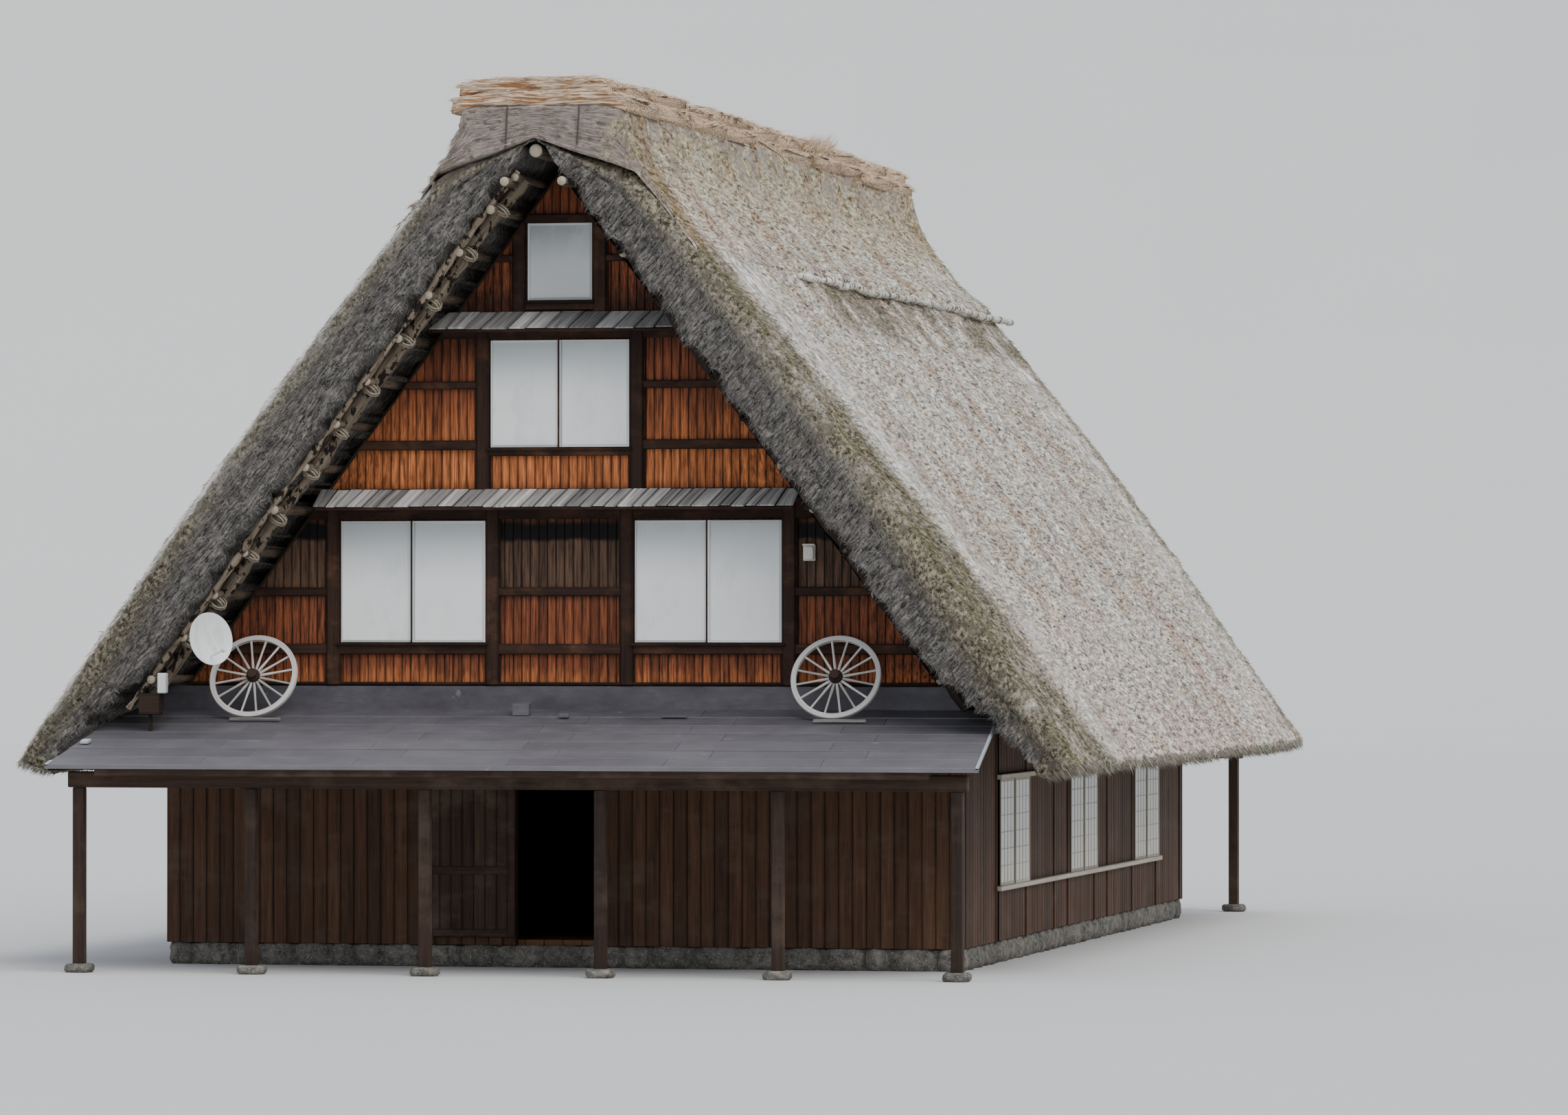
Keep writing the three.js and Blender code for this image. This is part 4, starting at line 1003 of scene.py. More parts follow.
def stems_of_slope(side):
    """The loose stems of one slope, made on the right: a stubble that lies down the slope,
    whiskers round the verges, bristles on the end faces that lean to the right seen from
    outside, a ragged inner edge and the eave's fringe."""
    band, rings = EDGE_BAND, RING_COUNT

    def on_sheet(count, rows, ring):
        return scatter(right_slope, slope_out, count, rows, ring)

    place, out, down, at = on_sheet(STUBBLE, (TIP_ROW, SADDLE_ROW), (band, rings - band))
    reach = down * draw(0.05, 0.16, place) + out * draw(0.0, 0.035, place)
    reach += chance.normal(0, 0.025, reach.shape)
    shapes = [straws(place - out * 0.006, reach, (0.004, 0.009), moss=moss[at], verge=0.0)]
    pale = (side < 0) * (lean < 0.6)
    for ring, turn in (((12, band + 6), -1), ((rings - band - 6, rings - 12), 1)):
        place, out, down, at = on_sheet(WHISKERS, (TIP_ROW, SADDLE_ROW + 6), ring)
        reach = down * draw(0.02, 0.1, place) + out * draw(0.01, 0.05, place)
        reach[:, 1] += turn * chance.uniform(0.01, 0.04, len(place))
        tint = np.where(pale[at], 1.0, chance.random(len(place)))
        shapes.append(straws(place - out * 0.01, reach, STEM, tint,
                             moss=moss[at] * ~pale[at], verge=lean[at] * 0.8 * ~pale[at]))
    for ring, rim, turn in (((0, 14), (0, 3), -1), ((rings - 14, rings), (rings - 3, rings), 1)):
        place, out, down, at = on_sheet(BRISTLES, (TIP_ROW, SLOPE_ROWS - 8), ring)
        angle = FLECK_LEAN + chance.normal(0, 0.22, len(place))
        fleck = side_by_side(-turn * side * np.cos(angle), 0.0, np.sin(angle))
        reach = fleck * draw(-0.11, 0.11, place)
        reach[:, 1] = turn * chance.uniform(0.005, 0.022, len(place))
        shapes.append(straws(place - out * 0.006, reach, STEM, moss=moss[at] * 0.8, verge=1.0))
        place, out, down, at = on_sheet(INNER_STRAWS, (TIP_ROW, SLOPE_ROWS - 10), rim)
        reach = down * draw(-0.02, 0.06, place) - np.array([SIN, 0, COS]) * draw(0.01, 0.08, place)
        shapes.append(straws(place, reach, (0.004, 0.008), moss=0.0, verge=1.0))
    place, out, down, at = on_sheet(FRINGE, (1, TIP_ROW + 3), (band - 4, rings - band + 4))
    reach = np.array([0.5, 0.0, -0.55]) * draw(0.05, 0.16, place) + chance.normal(0, 0.014, place.shape)
    shapes.append(straws(place, reach, STEM, bright=0.8, moss=0.2, verge=0.3))
    stems = gather(*shapes)
    stems["points"][:, 0] = np.clip(stems["points"][:, 0], 0.003, TIP[0] - 0.002)
    return stems


right_thatch, left_thatch = thatch_finish("right_thatch", 1.0), thatch_finish("left_thatch", 0.3)
stubble = straw_finish("thatch_stems", (92, 84, 74), (228, 220, 206))
for side, name, finish in ((1, "right", right_thatch), (-1, "left", left_thatch)):
    rim = (side < 0) * held((0.55 - lean) / 0.12) * held(lean / 0.1)
    marks = {"verge": lean * (1 - rim), "moss": moss * (1 - rim), "foot": held(foot_pink_and_pole_shadow),
             "bleach": np.maximum(bleach, rim)}
    sheet = make_shape(right_slope, tube_faces(SLOPE_ROWS, RING_COUNT), slope_grain,
                       **{key: value.ravel() for key, value in marks.items()})
    stems = stems_of_slope(side)
    if side < 0:
        sheet, stems = flip_x(sheet), flip_x(stems)
    add_piece("thatch_sheet_" + name, sheet, finish, "thatch_" + name, smooth=True)
    add_piece("thatch_stems_" + name, stems, stubble)

# The ridge thatch is a thick saddle of newer grass in layers, bent over the ridge with its butts
# cut in steps at the left and trimmed flush with the slope at the right. Its front and rear faces
# show the layers as thin bands, and two dark ropes come down each face.
SADDLE_ROWS = 190
SADDLE_STEPS = 190
SADDLE_END = ROOF_END + 0.015
SADDLE_EDGE = 0.05
SADDLE_THICK = 0.38
SADDLE_LAYERS = 6
SADDLE_BANDS = 7
SADDLE_FACE = 15
SADDLE_RIM = 17


def outer_height(x):
    """Height of the smooth outer face of the thatch at a distance from the middle."""
    return np.interp(-np.abs(x), -face_x, face_z)


under_points = [(1.86, outer_height(1.86) - 0.03), SHOULDER, ARCH[0], ARCH[1], (0, 9.331)]
under_points += [(-x, z) for x, z in under_points[-2:0:-1]] + [(-1.64, outer_height(1.64) + 0.004)]
over_points = [(1.86, outer_height(1.86) + 0.005), (1.5, outer_height(1.5) + 0.035), (1.22, 9.0),
               (1.1, 9.36), (1.02, 9.7), (0, 9.71), (-0.82, 9.7), (-0.86, 9.5), (-0.98, 9.18),
               (-1.2, 8.86), (-1.48, 8.56), (-1.64, outer_height(1.64) + 0.03)]
saddle_under = along_line(under_points, SADDLE_ROWS, 1)
saddle_over = along_line(over_points, SADDLE_ROWS, 2)
saddle_ys, saddle_depths, saddle_lean = verge_ring(
    -SADDLE_END, SADDLE_END, SADDLE_EDGE, SADDLE_THICK, SADDLE_FACE, SADDLE_STEPS)
smooth_saddle = straw_sheet(saddle_over, saddle_under, saddle_ys, saddle_depths)
saddle_out = ways_out(smooth_saddle)
saddle_run = down_rows(smooth_saddle)
left_run = saddle_run[-1:] - saddle_run
saddle_x, saddle_y, saddle_z = np.moveaxis(smooth_saddle, -1, 0)
saddle_deep = saddle_depths[None] + 0 * saddle_run
saddle_lean = saddle_lean[None] + 0 * saddle_run

# Where the saddle sinks into the slope it follows the round edge of the slope's end face.
sunk = np.maximum((outer_height(saddle_x) - saddle_z) * COS, 0)
corner = EDGE - np.sqrt(EDGE ** 2 - np.maximum(EDGE - sunk, 0) ** 2) + 0.02
corner = corner * held((np.abs(saddle_x) - 1.1) / 0.3) * held((np.abs(saddle_y) - 7.8) / 1.0)
smooth_saddle[..., 1] -= np.sign(saddle_y) * corner

# Six layers step down at the left, and seven thin bands lie in each end face.
layer_share = left_run / 1.35 * SADDLE_LAYERS + bumps(smooth_saddle, (0.5, 0.5, 51, 0.5))
layer_share = np.mod(layer_share + bumps(smooth_saddle, (0.25, 0.16, 52, 0.5)), 1.0)
on_left = held((1.4 - left_run) / 0.1)
at_right = held((saddle_x - 0.86 + bumps(smooth_saddle, (0.5, 0.2, 58, 0.5))) / 0.3)
bands = saddle_deep * SADDLE_BANDS + 0.9 * (stretched(saddle_run, saddle_deep, 0.8, 0.4, 53) - 0.5)
bands = np.mod(bands + bumps(smooth_saddle, (0.5, 0.12, 59, 0.5)), 1.0)
saddle_height = 0.07 * (1 - layer_share) * on_left - 0.03 * on_left
saddle_height += bumps(smooth_saddle, (0.03, 0.34, 54, 0.5), (0.024, 0.08, 60, 0.5))
saddle_height += 0.06 * on_left * held((saddle_y - POLE_START) / 0.5)
saddle_height += 0.035 * on_left * held((saddle_y + 8.3) / 0.6)
on_end = 0.02 * (bands - 0.6) * (1 - at_right)
on_end += bumps(smooth_saddle, (0.03, 0.2, 56, 0.6), (0.014, 0.05, 55, 0.5))
saddle_height = saddle_height * (1 - saddle_lean) + on_end * saddle_lean
saddle_height = np.where(saddle_deep > 0.97, 0.3, 1.0) * saddle_height
saddle_grid = drawn_in(smooth_saddle + saddle_out * saddle_height[..., None])
saddle_end = held(1 - layer_share * 3.5) * on_left * (1 - saddle_lean)
saddle_end = np.maximum(saddle_end, 0.8 * saddle_lean * held(1 - bands * 5) * (1 - at_right))
saddle_grain = side_by_side(saddle_y + saddle_deep * SADDLE_THICK, saddle_run)
under_cap = held((saddle_z - 8.95) / 0.4) * held(2 * lumps(smooth_saddle, 0.25, 57) - 0.3)
by_verge = held((1.0 - ROOF_END + np.abs(saddle_y)) / 0.4 + lumps(smooth_saddle, 0.2, 61) - 0.5) * at_right
by_verge *= 1 - saddle_lean * held((saddle_deep - 0.2) / 0.1)
saddle_moss = np.maximum(0.7 * under_cap * at_right, (saddle_x < -0.9) * 0.6 * lumps(smooth_saddle, 0.3, 58))
saddle_moss = np.maximum(saddle_moss, by_verge)


def ridge_finish():
    """Newer thatch: stems along the grain, dark where a layer ends, like the slope where it is
    trimmed flush with it, and greener where the moss mark says."""
    finish = Finish("ridge_thatch", 0.95, 0.1)
    slope, slope_height = slope_look(finish)
    stems = finish.fibres(0.012, 0.16)
    face = finish.over(stems, 0.36, 0.64, (118, 105, 98), (192, 177, 168))
    face = finish.over(finish.clouds((0.2, 0.2, 0.12)), 0.5, 0.7, face, (172, 162, 146))
    face = finish.blend(finish.mark("smooth"), face, slope)
    face = finish.blend(finish.mark("moss"), face, finish.stained(slope, (232, 228, 214)))
    finish.colour(finish.blend(finish.mark("end"), face, (84, 74, 68)))
    height = finish.step("Mix", {0: finish.mark("smooth"), 2: stems, 3: slope_height})
    finish.relief(height, 0.035)
    return finish


def stems_of_saddle():
    """Loose stems of the ridge thatch: whiskers at the butts of each layer at the left, stubble
    at the right, and bristles along the bands of the end faces."""
    shapes = []
    rings, rim = len(saddle_ys), SADDLE_RIM
    for rows, turn, count in (((0, 50), -1, 3000), ((SADDLE_ROWS - 50, SADDLE_ROWS), 1, 6000)):
        place, out, down, at = scatter(saddle_grid, saddle_out, count, rows, (rim, rings - rim))
        reach = -turn * down * draw(0.05, 0.14, place) + out * draw(0.005, 0.04, place)
        reach += chance.normal(0, 0.014, reach.shape)
        shapes.append(straws(place - out * 0.008, reach, STEM, moss=saddle_moss[at], verge=0.0))
    for ring, turn in (((0, rim), -1), ((rings - rim, rings), 1)):
        place, out, down, at = scatter(saddle_grid, saddle_out, 3600, (12, SADDLE_ROWS), ring)
        reach = np.sign(place[:, :1]) * down * draw(0.02, 0.12, place)
        reach[:, 1] += turn * chance.uniform(0.0, 0.025, len(place))
        shapes.append(straws(place - out * 0.006, reach, (0.003, 0.006), moss=0.0, verge=0.15))
    return gather(*shapes)


saddle_faces = tube_faces(SADDLE_ROWS, len(saddle_ys))
saddle = make_shape(saddle_grid, saddle_faces, saddle_grain, foot=0.2, end=saddle_end.ravel(),
                    moss=saddle_moss.ravel(), smooth=at_right.ravel())
saddle_straw = straw_finish("ridge_stems", (118, 104, 96), (220, 206, 192))
dark_rope = rope_finish("dark_rope", 0.005, 0.012, (44, 40, 38), (108, 100, 94), 0.003)
add_piece("ridge_thatch", saddle, ridge_finish(), "ridge_saddle", smooth=True)
add_piece("ridge_thatch_stems", stems_of_saddle(), saddle_straw)
face_ropes = [straight((x, y, 9.68), (x - 0.03, y, base), 16, 0.012)
              for y in (-ROOF_END - 0.03, ROOF_END + 0.03) for x, base in ((-0.3, 9.2), (0.53, 9.24))]
add_piece("ridge_ropes", poles(face_ropes, 0.009, 6, shut=0.004), dark_rope, smooth=True)

# The cap is pale new straw in ten bundles laid across the ridge side by side. Each has two
# layers, a little crooked, whose ragged butts hang over both sides and fray.
BUNDLES = 10
CAP_TOP = 10.05
CAP_HIGHEST = 10.077
CAP_REACH = 1.149
LAYER_ROWS = 44
LAYER_EDGE = 0.03
LAYER_SHIFT = 1.7


def bundle(start, stop, half, aside, top, droop, thick, number):
    """One layer of a bundle: a sheet bent over the ridge. Its upper face falls towards its ends
    as the fourth power of the distance from the middle."""
    x = np.linspace(half, -half, LAYER_ROWS)
    fall = droop * (x / half) ** 4
    low = np.minimum(top - fall - thick * (0.75 + 0.25 * (x / half) ** 2), top - thick)
    ys, depths, _ = verge_ring(start, stop, LAYER_EDGE, thick, 4, 30)
    grid = straw_sheet(side_by_side(x, top - fall), side_by_side(x * 0.985, low), ys, depths)
    out = ways_out(grid)
    run = down_rows(grid)
    shift = number * LAYER_SHIFT
    rough = 0.045 * (stretched(grid[..., 0] + shift, grid[..., 1], 0.6, 0.07, 61) - 0.5)
    rough = rough + bumps(grid + shift, (0.03, 0.35, 62, 0.5), (0.01, 0.06, 64, 0.5))
    grid = grid + out * rough[..., None]
    ragged = 0.07 * (stretched(grid[..., 1] + shift, grid[..., 2], 0.05, 0.04, 63) - 0.6)
    ragged = ragged + 0.08 * (stretched(grid[..., 1] + shift, grid[..., 2], 0.25, 0.3, 65) - 0.6)
    grid[..., 0] = grid[..., 0] * (1 + ragged * np.abs(x)[:, None] ** 6 / half ** 7) + aside
    grid = drawn_in(grid)
    grid[..., 0] = np.clip(grid[..., 0], -CAP_REACH, CAP_REACH)
    grid[..., 2] = np.minimum(grid[..., 2], CAP_HIGHEST)
    end = held((np.abs(x)[:, None] - half + 0.06) / 0.05) + 0 * run
    grain = side_by_side(grid[..., 1] + grid[..., 2], run + shift)
    shape = make_shape(grid, tube_faces(LAYER_ROWS, len(ys)), grain, end=end.ravel(), tint=chance.random())
    return shape, grid, out


cap_shapes, cap_stems = [], []
cap_cuts = np.linspace(-ROOF_END + 0.02, ROOF_END - 0.02, BUNDLES + 1)
cap_cuts[1:-1] += chance.uniform(-0.2, 0.2, BUNDLES - 1)
for number in range(BUNDLES):
    start = max(cap_cuts[number] - 0.06, -ROOF_END - 0.01)
    stop = min(cap_cuts[number + 1] + 0.06, ROOF_END + 0.01)
    rise = chance.uniform(-0.05, 0.0)
    half = 1.04 - chance.uniform(0, 0.07)
    lower = bundle(start, stop, half, 0.06, CAP_TOP - 0.15 + rise, 0.09, 0.16, number)
    start, stop = start + chance.uniform(0.0, 0.12), stop - chance.uniform(0.0, 0.12)
    half, aside = 0.99 - chance.uniform(0, 0.08), chance.uniform(-0.03, 0.02)
    upper = bundle(start, stop, half, aside, CAP_TOP + rise, 0.07, 0.15, number + 40)
    for shape, grid, out in (lower, upper):
        cap_shapes.append(shape)
        inner = (2, grid.shape[1] - 2)
        for rows, turn in (((0, 4), 1), ((LAYER_ROWS - 4, LAYER_ROWS), -1)):
            place = scatter(grid, out, 420, rows, inner)[0]
            reach = np.zeros_like(place)
            reach[:, 0] = turn * chance.uniform(0.0, 0.1, len(place))
            reach[:, 2] = chance.uniform(-0.04, 0.01, len(place))
            reach[:, 1] = chance.normal(0, 0.014, len(place))
            cap_stems.append(straws(place, reach, STEM, moss=0.0, verge=0.0))
        place, away, down, _ = scatter(grid, out, 460, (2, LAYER_ROWS - 2), inner)
        reach = down * draw(-0.3, 0.3, place) + away * draw(0.0, 0.03, place)
        cap_stems.append(straws(place, reach, STEM, power=1.6, moss=0.0, verge=0.0))

# One tuft of straw has come loose at the right edge of the cap and stands up.
TUFT = 260
tuft_root = np.array([0.86, 1.9, 9.85]) + chance.normal(0, (0.1, 0.1, 0.02), (TUFT, 3))
tuft_reach = side_by_side(chance.uniform(0.04, 0.22, TUFT), chance.normal(0, 0.04, TUFT),
                          chance.uniform(0.06, 0.24, TUFT))
cap_stems.append(straws(tuft_root, tuft_reach, 0.007, moss=0.0, verge=0.0))
cap_straws = gather(*cap_stems)
stem_limit = np.array([1.2, ROOF_END + 0.04, 10.079])
cap_straws["points"] = np.clip(cap_straws["points"], -stem_limit, stem_limit)

cap_straw = Finish("cap_straw", 0.85)
cap_fibres = cap_straw.fibres(0.022, 0.4)
cap_pale = cap_straw.over(cap_fibres, 0.4, 0.58, (132, 92, 60), (252, 230, 200))
cap_pale = cap_straw.over(cap_straw.clouds((0.3, 0.3, 0.2), 4.0), 0.5, 0.7, cap_pale, (226, 205, 184))
cap_pale = cap_straw.over(cap_straw.fibres(0.034, 0.5, 4.0, 7.0), 0.52, 0.57, cap_pale, (164, 114, 74))
cap_cut = cap_straw.clouds((0.03, 0.03, 0.012), 4.0)
cap_cut = cap_straw.over(cap_cut, 0.4, 0.58, (112, 72, 42), (250, 222, 188))
cap_straw.colour(cap_straw.blend(cap_straw.mark("end"), cap_pale, cap_cut))
cap_straw.relief(cap_fibres, 0.03)
cap_stem_finish = straw_finish("cap_stems", (170, 136, 100), (252, 238, 216))
add_piece("straw_cap", gather(*cap_shapes), cap_straw, "ridge_cap", smooth=True)
add_piece("straw_cap_stems", cap_straws, cap_stem_finish)

# A weathered pole lies along each slope below the ridge thatch and holds the course under it. It
# is gnarled, half sunk in the straw, and pieced from four lengths that lie end to end.
SLOPE_POLE = 0.047
LENGTHS = 4
slope_pole_low, slope_pole_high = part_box("slope_pole_right")
slope_pole_x, _, slope_pole_z = (slope_pole_low + slope_pole_high) / 2
grey_pole = pole_finish("grey_slope_poles", (160, 154, 140), (240, 236, 224), (222, 214, 196), (96, 86, 74))
for side, name in ((1, "right"), (-1, "left")):
    cuts = np.linspace(slope_pole_low[1], slope_pole_high[1], LENGTHS + 1)
    paths = []
    for start, stop in zip(cuts[:-1], cuts[1:]):
        x = (slope_pole_x + chance.uniform(-0.02, 0.02)) * side
        z = slope_pole_z - chance.uniform(0.0, 0.02)
        stop = min(stop + chance.uniform(0.0, 0.3), slope_pole_high[1])
        paths.append(straight((x, start, z), (x, stop, z), 40, 0.03))
    log = poles(paths, SLOPE_POLE * (0.65 + 0.6 * lumps(np.array(paths), 0.2, 15)))
    add_piece("slope_pole_log_" + name, log, grey_pole, "slope_pole_" + name, smooth=True)

# Each gable is boarded upright in three storeys. The planks are 0.1 m wide, oiled red-brown and faded: bright
# orange under the lowest windows and grey-brown above. The near-black and dark bands under the pents are
# painted shade.
GABLE_PLANK = 0.1
BOARD_BACK = 0.055 - GABLE_Y
STOREYS = {
    "boards_2": (3.2, 5.2997, ((-2.552, -0.892, 3.713, 5.038), (0.892, 2.552, 3.713, 5.038))),
    "boards_3": (5.3, 7.2997, ((-0.786, 0.786, 5.925, 7.085),)),
    "boards_4": (7.3, BOARD_APEX, ((-0.349, 0.349, 7.591, 8.41),)),
}


def gable_board_finish():
    """Oiled boards whose colour changes with height in bands, some of which end in tongues, with dark fibres,
    worn streaks and cracks. The near-black band from 4.9 m and the dark bands just under each pent are
    painted shade."""
    finish = Finish("gable_boards", 0.7)
    blots = finish.clouds((0.5, 0.5, 0.4))
    tongues = finish.clouds((0.05, 0.05, 0.35), 4.0, 9.0)
    up = finish.maths("ADD", finish.along_axis(2), finish.times(blots, 0.16))
    waved = finish.maths("ADD", up, finish.times(tongues, 0.5))
    mixed = finish.weigh(finish.fibres(0.014, 0.5), 0.5, finish.fibres(0.035, 0.45, 5.0, 3.0), 0.5)
    spread = finish.between(mixed, 0.38, 0.62)
    orange = finish.blend(spread, (58, 28, 18), (206, 122, 70))
    red = finish.blend(spread, (52, 28, 20), (158, 88, 54))
    grey = finish.blend(spread, (44, 32, 26), (112, 84, 64))
    dark = finish.blend(spread, (34, 20, 15), (98, 56, 36))
    rust = finish.blend(spread, (82, 42, 26), (230, 138, 80))
    colour = orange
    # The near-black band from 4.9 m and the dark bands from 5.1 m and 6.95 m are painted shade under the
    # pents.
    for height, low, high, tone in (
            (waved, 3.62, 3.74, red), (waved, 4.45, 4.65, grey), (up, 4.9, 4.94, (13, 10, 9)),
            (up, 5.1, 5.14, dark), (up, 5.4, 5.6, rust), (waved, 6.0, 6.9, red), (up, 6.95, 7.3, dark),
            (up, 7.6, 7.9, red)):
        colour = finish.over(height, low, high, colour, tone)
    finish.colour(finish.aged(colour, (0.7, 1.25), 0.5))
    finish.relief(mixed, 0.003)
    return finish


gable_boards = gable_board_finish()
for name, (base, top, holes) in STOREYS.items():
    half = (BOARD_APEX - base) / math.tan(PITCH)
    planks = gable_planks(-half, half, GABLE_PLANK, base, top, holes, -GABLE_Y, BOARD_BACK, 0.004)
    for end, made in (("front_", planks), ("rear_", turn_round(planks))):
        add_piece(end + name + "_planks", made, gable_boards, end + name)

# The gable's frame is dark squared timber on the face of the boards: posts beside the windows
# and rails between the storeys, with thin fillets in their corners and sills under the windows.
FRAME_FACE = -GABLE_Y - GAP
POST_HALF = 0.075
POST_DEEP = 0.06
RAIL_DEEP = 0.045
FILLET_DEEP = 0.03
FILLET = 0.018
SILL_DEEP = 0.085
SILL_HIGH = 0.034
POSTS = [(x, 3.2, 5.43) for x in (-2.66, -0.784, 0.784, 2.66)]
POSTS += [(x, 5.3, 7.44) for x in (-0.9, 0.9)] + [(x, 7.3, 8.475) for x in (-0.47, 0.47)]
RAILS = [(3.2, 3.235, -5, 5), (3.55, 3.67, -5, 5), (5.085, 5.43, -5, 5), (7.13, 7.44, -5, 5)]
RAILS += [(4.21, 4.31, a, b) for a, b in ((-5, -2.6), (-0.8, 0.8), (2.6, 5))]
RAILS += [(5.8, 5.88, -0.9, 0.9), (7.45, 7.545, -0.47, 0.47), (8.44, 8.54, -0.6, 0.6)]
RAILS += [(z, z + high, side * 5, side * 0.9) for z, high in ((5.87, 0.11), (6.56, 0.09)) for side in (-1, 1)]
RAILS += [(8.0, 8.08, side * 5, side * 0.47) for side in (-1, 1)]
SILLS = ((-2.62, -0.83, 3.645), (0.83, 2.62, 3.645), (-0.85, 0.85, 5.858), (-0.41, 0.41, 7.526))


def inside_gable(shape, apex=BOARD_APEX):
    """Pulls each point in sideways to the gable's sloping edge at its own height."""
    x, y, z = shape["points"].T
    reach = np.maximum((apex - z) / math.tan(PITCH), 0.0)
    return moved(shape, np.clip(x, -reach, reach), y, z)


def framed(pieces, deep, planed, tint=None, back=0.0):
    """Timbers on the gable's face, deep from front to back, each given as (x, x, base, top)."""
    return sawn([(min(a, b), FRAME_FACE - deep, base) for a, b, base, top in pieces],
                [(max(a, b), FRAME_FACE - back, top) for a, b, base, top in pieces], planed, tint)


frame_posts = [(x - POST_HALF, x + POST_HALF, base, top) for x, base, top in POSTS]
frame_rails = [(a, b, base, top) for base, top, a, b in RAILS]
fillet_xs = [(x + side * (POST_HALF + FILLET / 2) - FILLET / 2, base, top)
             for x, base, top in POSTS for side in (-1, 1)]
fillets = [(x, x + FILLET, base, top) for x, base, top in fillet_xs]
sills = [(a, b, z, z + SILL_HIGH) for a, b, z in SILLS]
gable_frame = gather(
    under_gable(framed(frame_posts, POST_DEEP, 0.012)), inside_gable(framed(frame_rails, RAIL_DEEP, 0.009)),
    under_gable(framed(fillets, FILLET_DEEP, 0.004)), framed(sills, SILL_DEEP, 0.007, 0.1, 0.002))
frame_wood = wood_finish("frame_timber", (26, 18, 14), (70, 46, 34), worn=(92, 62, 44), depth=0.004)
add_piece("front_gable_timbers", gable_frame, frame_wood, "front_gable_frame")
add_piece("rear_gable_timbers", turn_round(gable_frame), frame_wood, "rear_gable_frame")

# The windows are sliding leaves of white paper over upright splints, in thin pale frames. Each lower and
# middle window has two leaves, one in front of the other, with a dark timber strip where they meet that
# stands for the painted shadow of the front leaf's edge, and the top window has one.
WINDOWS = {
    "lower_left": (-1.722, 0.86, 3.683, 5.068, 2), "lower_right": (1.722, 0.86, 3.683, 5.068, 2),
    "middle": (0.0, 0.816, 5.895, 7.115, 2), "top": (0.0, 0.379, 7.561, 8.44, 1),
}
# Top and bottom tones of the top window's paper; the default below serves the other gable windows. The darker
# tops are painted shade under the pents, deepest on the top window.
PAPER_SHADE_TONES = {"top": ((168, 177, 177), (222, 226, 224))}
LEAF_BAR = 0.028
LEAF_DEEP = 0.025
LEAF_PLAY = 0.002
cream = wood_finish("cream_bars", (202, 208, 204), (238, 240, 234), depth=0.001)
for name, (x, half, base, top, count) in WINDOWS.items():
    low, high = x - half + LEAF_PLAY, x + half - LEAF_PLAY
    spans = [(low, high, 0.0)] if count == 1 else [(low, x + 0.03, 0.0), (x, high, LEAF_DEEP + LEAF_PLAY)]
    leaves = [leaf((left, FRAME_FACE - ahead - LEAF_DEEP, base + LEAF_PLAY),
                   (right, FRAME_FACE - ahead, top - LEAF_PLAY), LEAF_BAR) for left, right, ahead in spans]
    bars, panes = leaves_shape(leaves)
    paper = paper_finish(name + "_paper", (base + top) / 2, top,
                         *PAPER_SHADE_TONES.get(name, ((202, 211, 211), (254, 254, 250))))
    # The dark strip is painted shadow: it stands for the shade the front leaf's edge casts on the rear leaf.
    strip = sawn([(x - 0.02, FRAME_FACE - 0.05, base + 0.003)],
                 [(x - 0.0005, FRAME_FACE - LEAF_DEEP - 0.0005, top - 0.003)], 0.002)
    if count == 2:
        add_at_both_ends(f"window_{name}_strip", strip, frame_wood)
    add_at_both_ends(f"window_{name}_bars", bars, cream, "window_" + name)
    add_at_both_ends(f"window_{name}_paper", panes, paper)

# Two pents throw the rain off the windows. Each is covered with split boards laid down its slope, silver
# grey, with dark joints that lean; a dark sheet and a front batten carry them.
PENTS = {"lower": (2.8, 5.43, 0.16), "upper": (1.43, 7.44, 0.24)}
PENT_OUT = 0.36
PENT_DROP = 0.2
PENT_BACK = -GABLE_Y - 0.0606
PENT_FRONT = PENT_BACK - PENT_OUT
PENT_LEAN = -0.3
PENT_APEX = INNER_APEX - (2 * PURLIN + 0.002) / COS


def pent_boards(half, width):
    """Boards with uneven widths, thickness and overhang, leaning sideways down the slope, and
    the sheet and the batten that carry them, all still level."""
    count = round(2 * half / width)
    edges = np.cumsum(chance.uniform(0.75, 1.25, count))
    edges = np.concatenate([[0], edges / edges[-1]]) * 2 * half - half
    thick = chance.uniform(0.012, 0.024, count)
    front = PENT_FRONT + chance.uniform(0.0, 0.018, count)
    face = chance.uniform(-0.01, 0.0, count)
    boards = sawn(side_by_side(edges[:-1] + 0.003, front, -thick),
                  side_by_side(edges[1:] - 0.01, PENT_BACK, face), 0.004)
    carrier = sawn([(0.04 - half, PENT_FRONT + 0.03, -0.05), (0.02 - half, PENT_FRONT + 0.012, -0.056)],
                   [(half - 0.04, PENT_BACK, -0.026), (half - 0.02, PENT_FRONT + 0.05, -0.0262)], 0.004, 0.2)
    return boards, carrier


def down_pent(shape, half, top, lean_share):
    """Tilts a level shape down from the wall and leans it sideways, less near its ends."""
    x, y, z = shape["points"].T
    out = (PENT_BACK - y) / PENT_OUT
    x = x + lean_share * (out - 0.5) * 0.36 * held((half - np.abs(x)) / 0.4)
    return inside_gable(moved(shape, x, y, z + (top - out * PENT_DROP)), PENT_APEX)


shingle = wood_finish("silver_shingles", (68, 64, 60), (224, 220, 214), depth=0.006, streak=0.03,
                      spread=(0.5, 1.3))
for name, (half, top, width) in PENTS.items():
    boards, carrier = pent_boards(half, width)
    boards, carrier = down_pent(boards, half, top, PENT_LEAN), down_pent(carrier, half, top, 0.0)
    add_at_both_ends(f"pent_{name}_boards", boards, shingle, "pent_" + name)
    add_at_both_ends(f"pent_{name}_carrier", carrier, frame_wood)

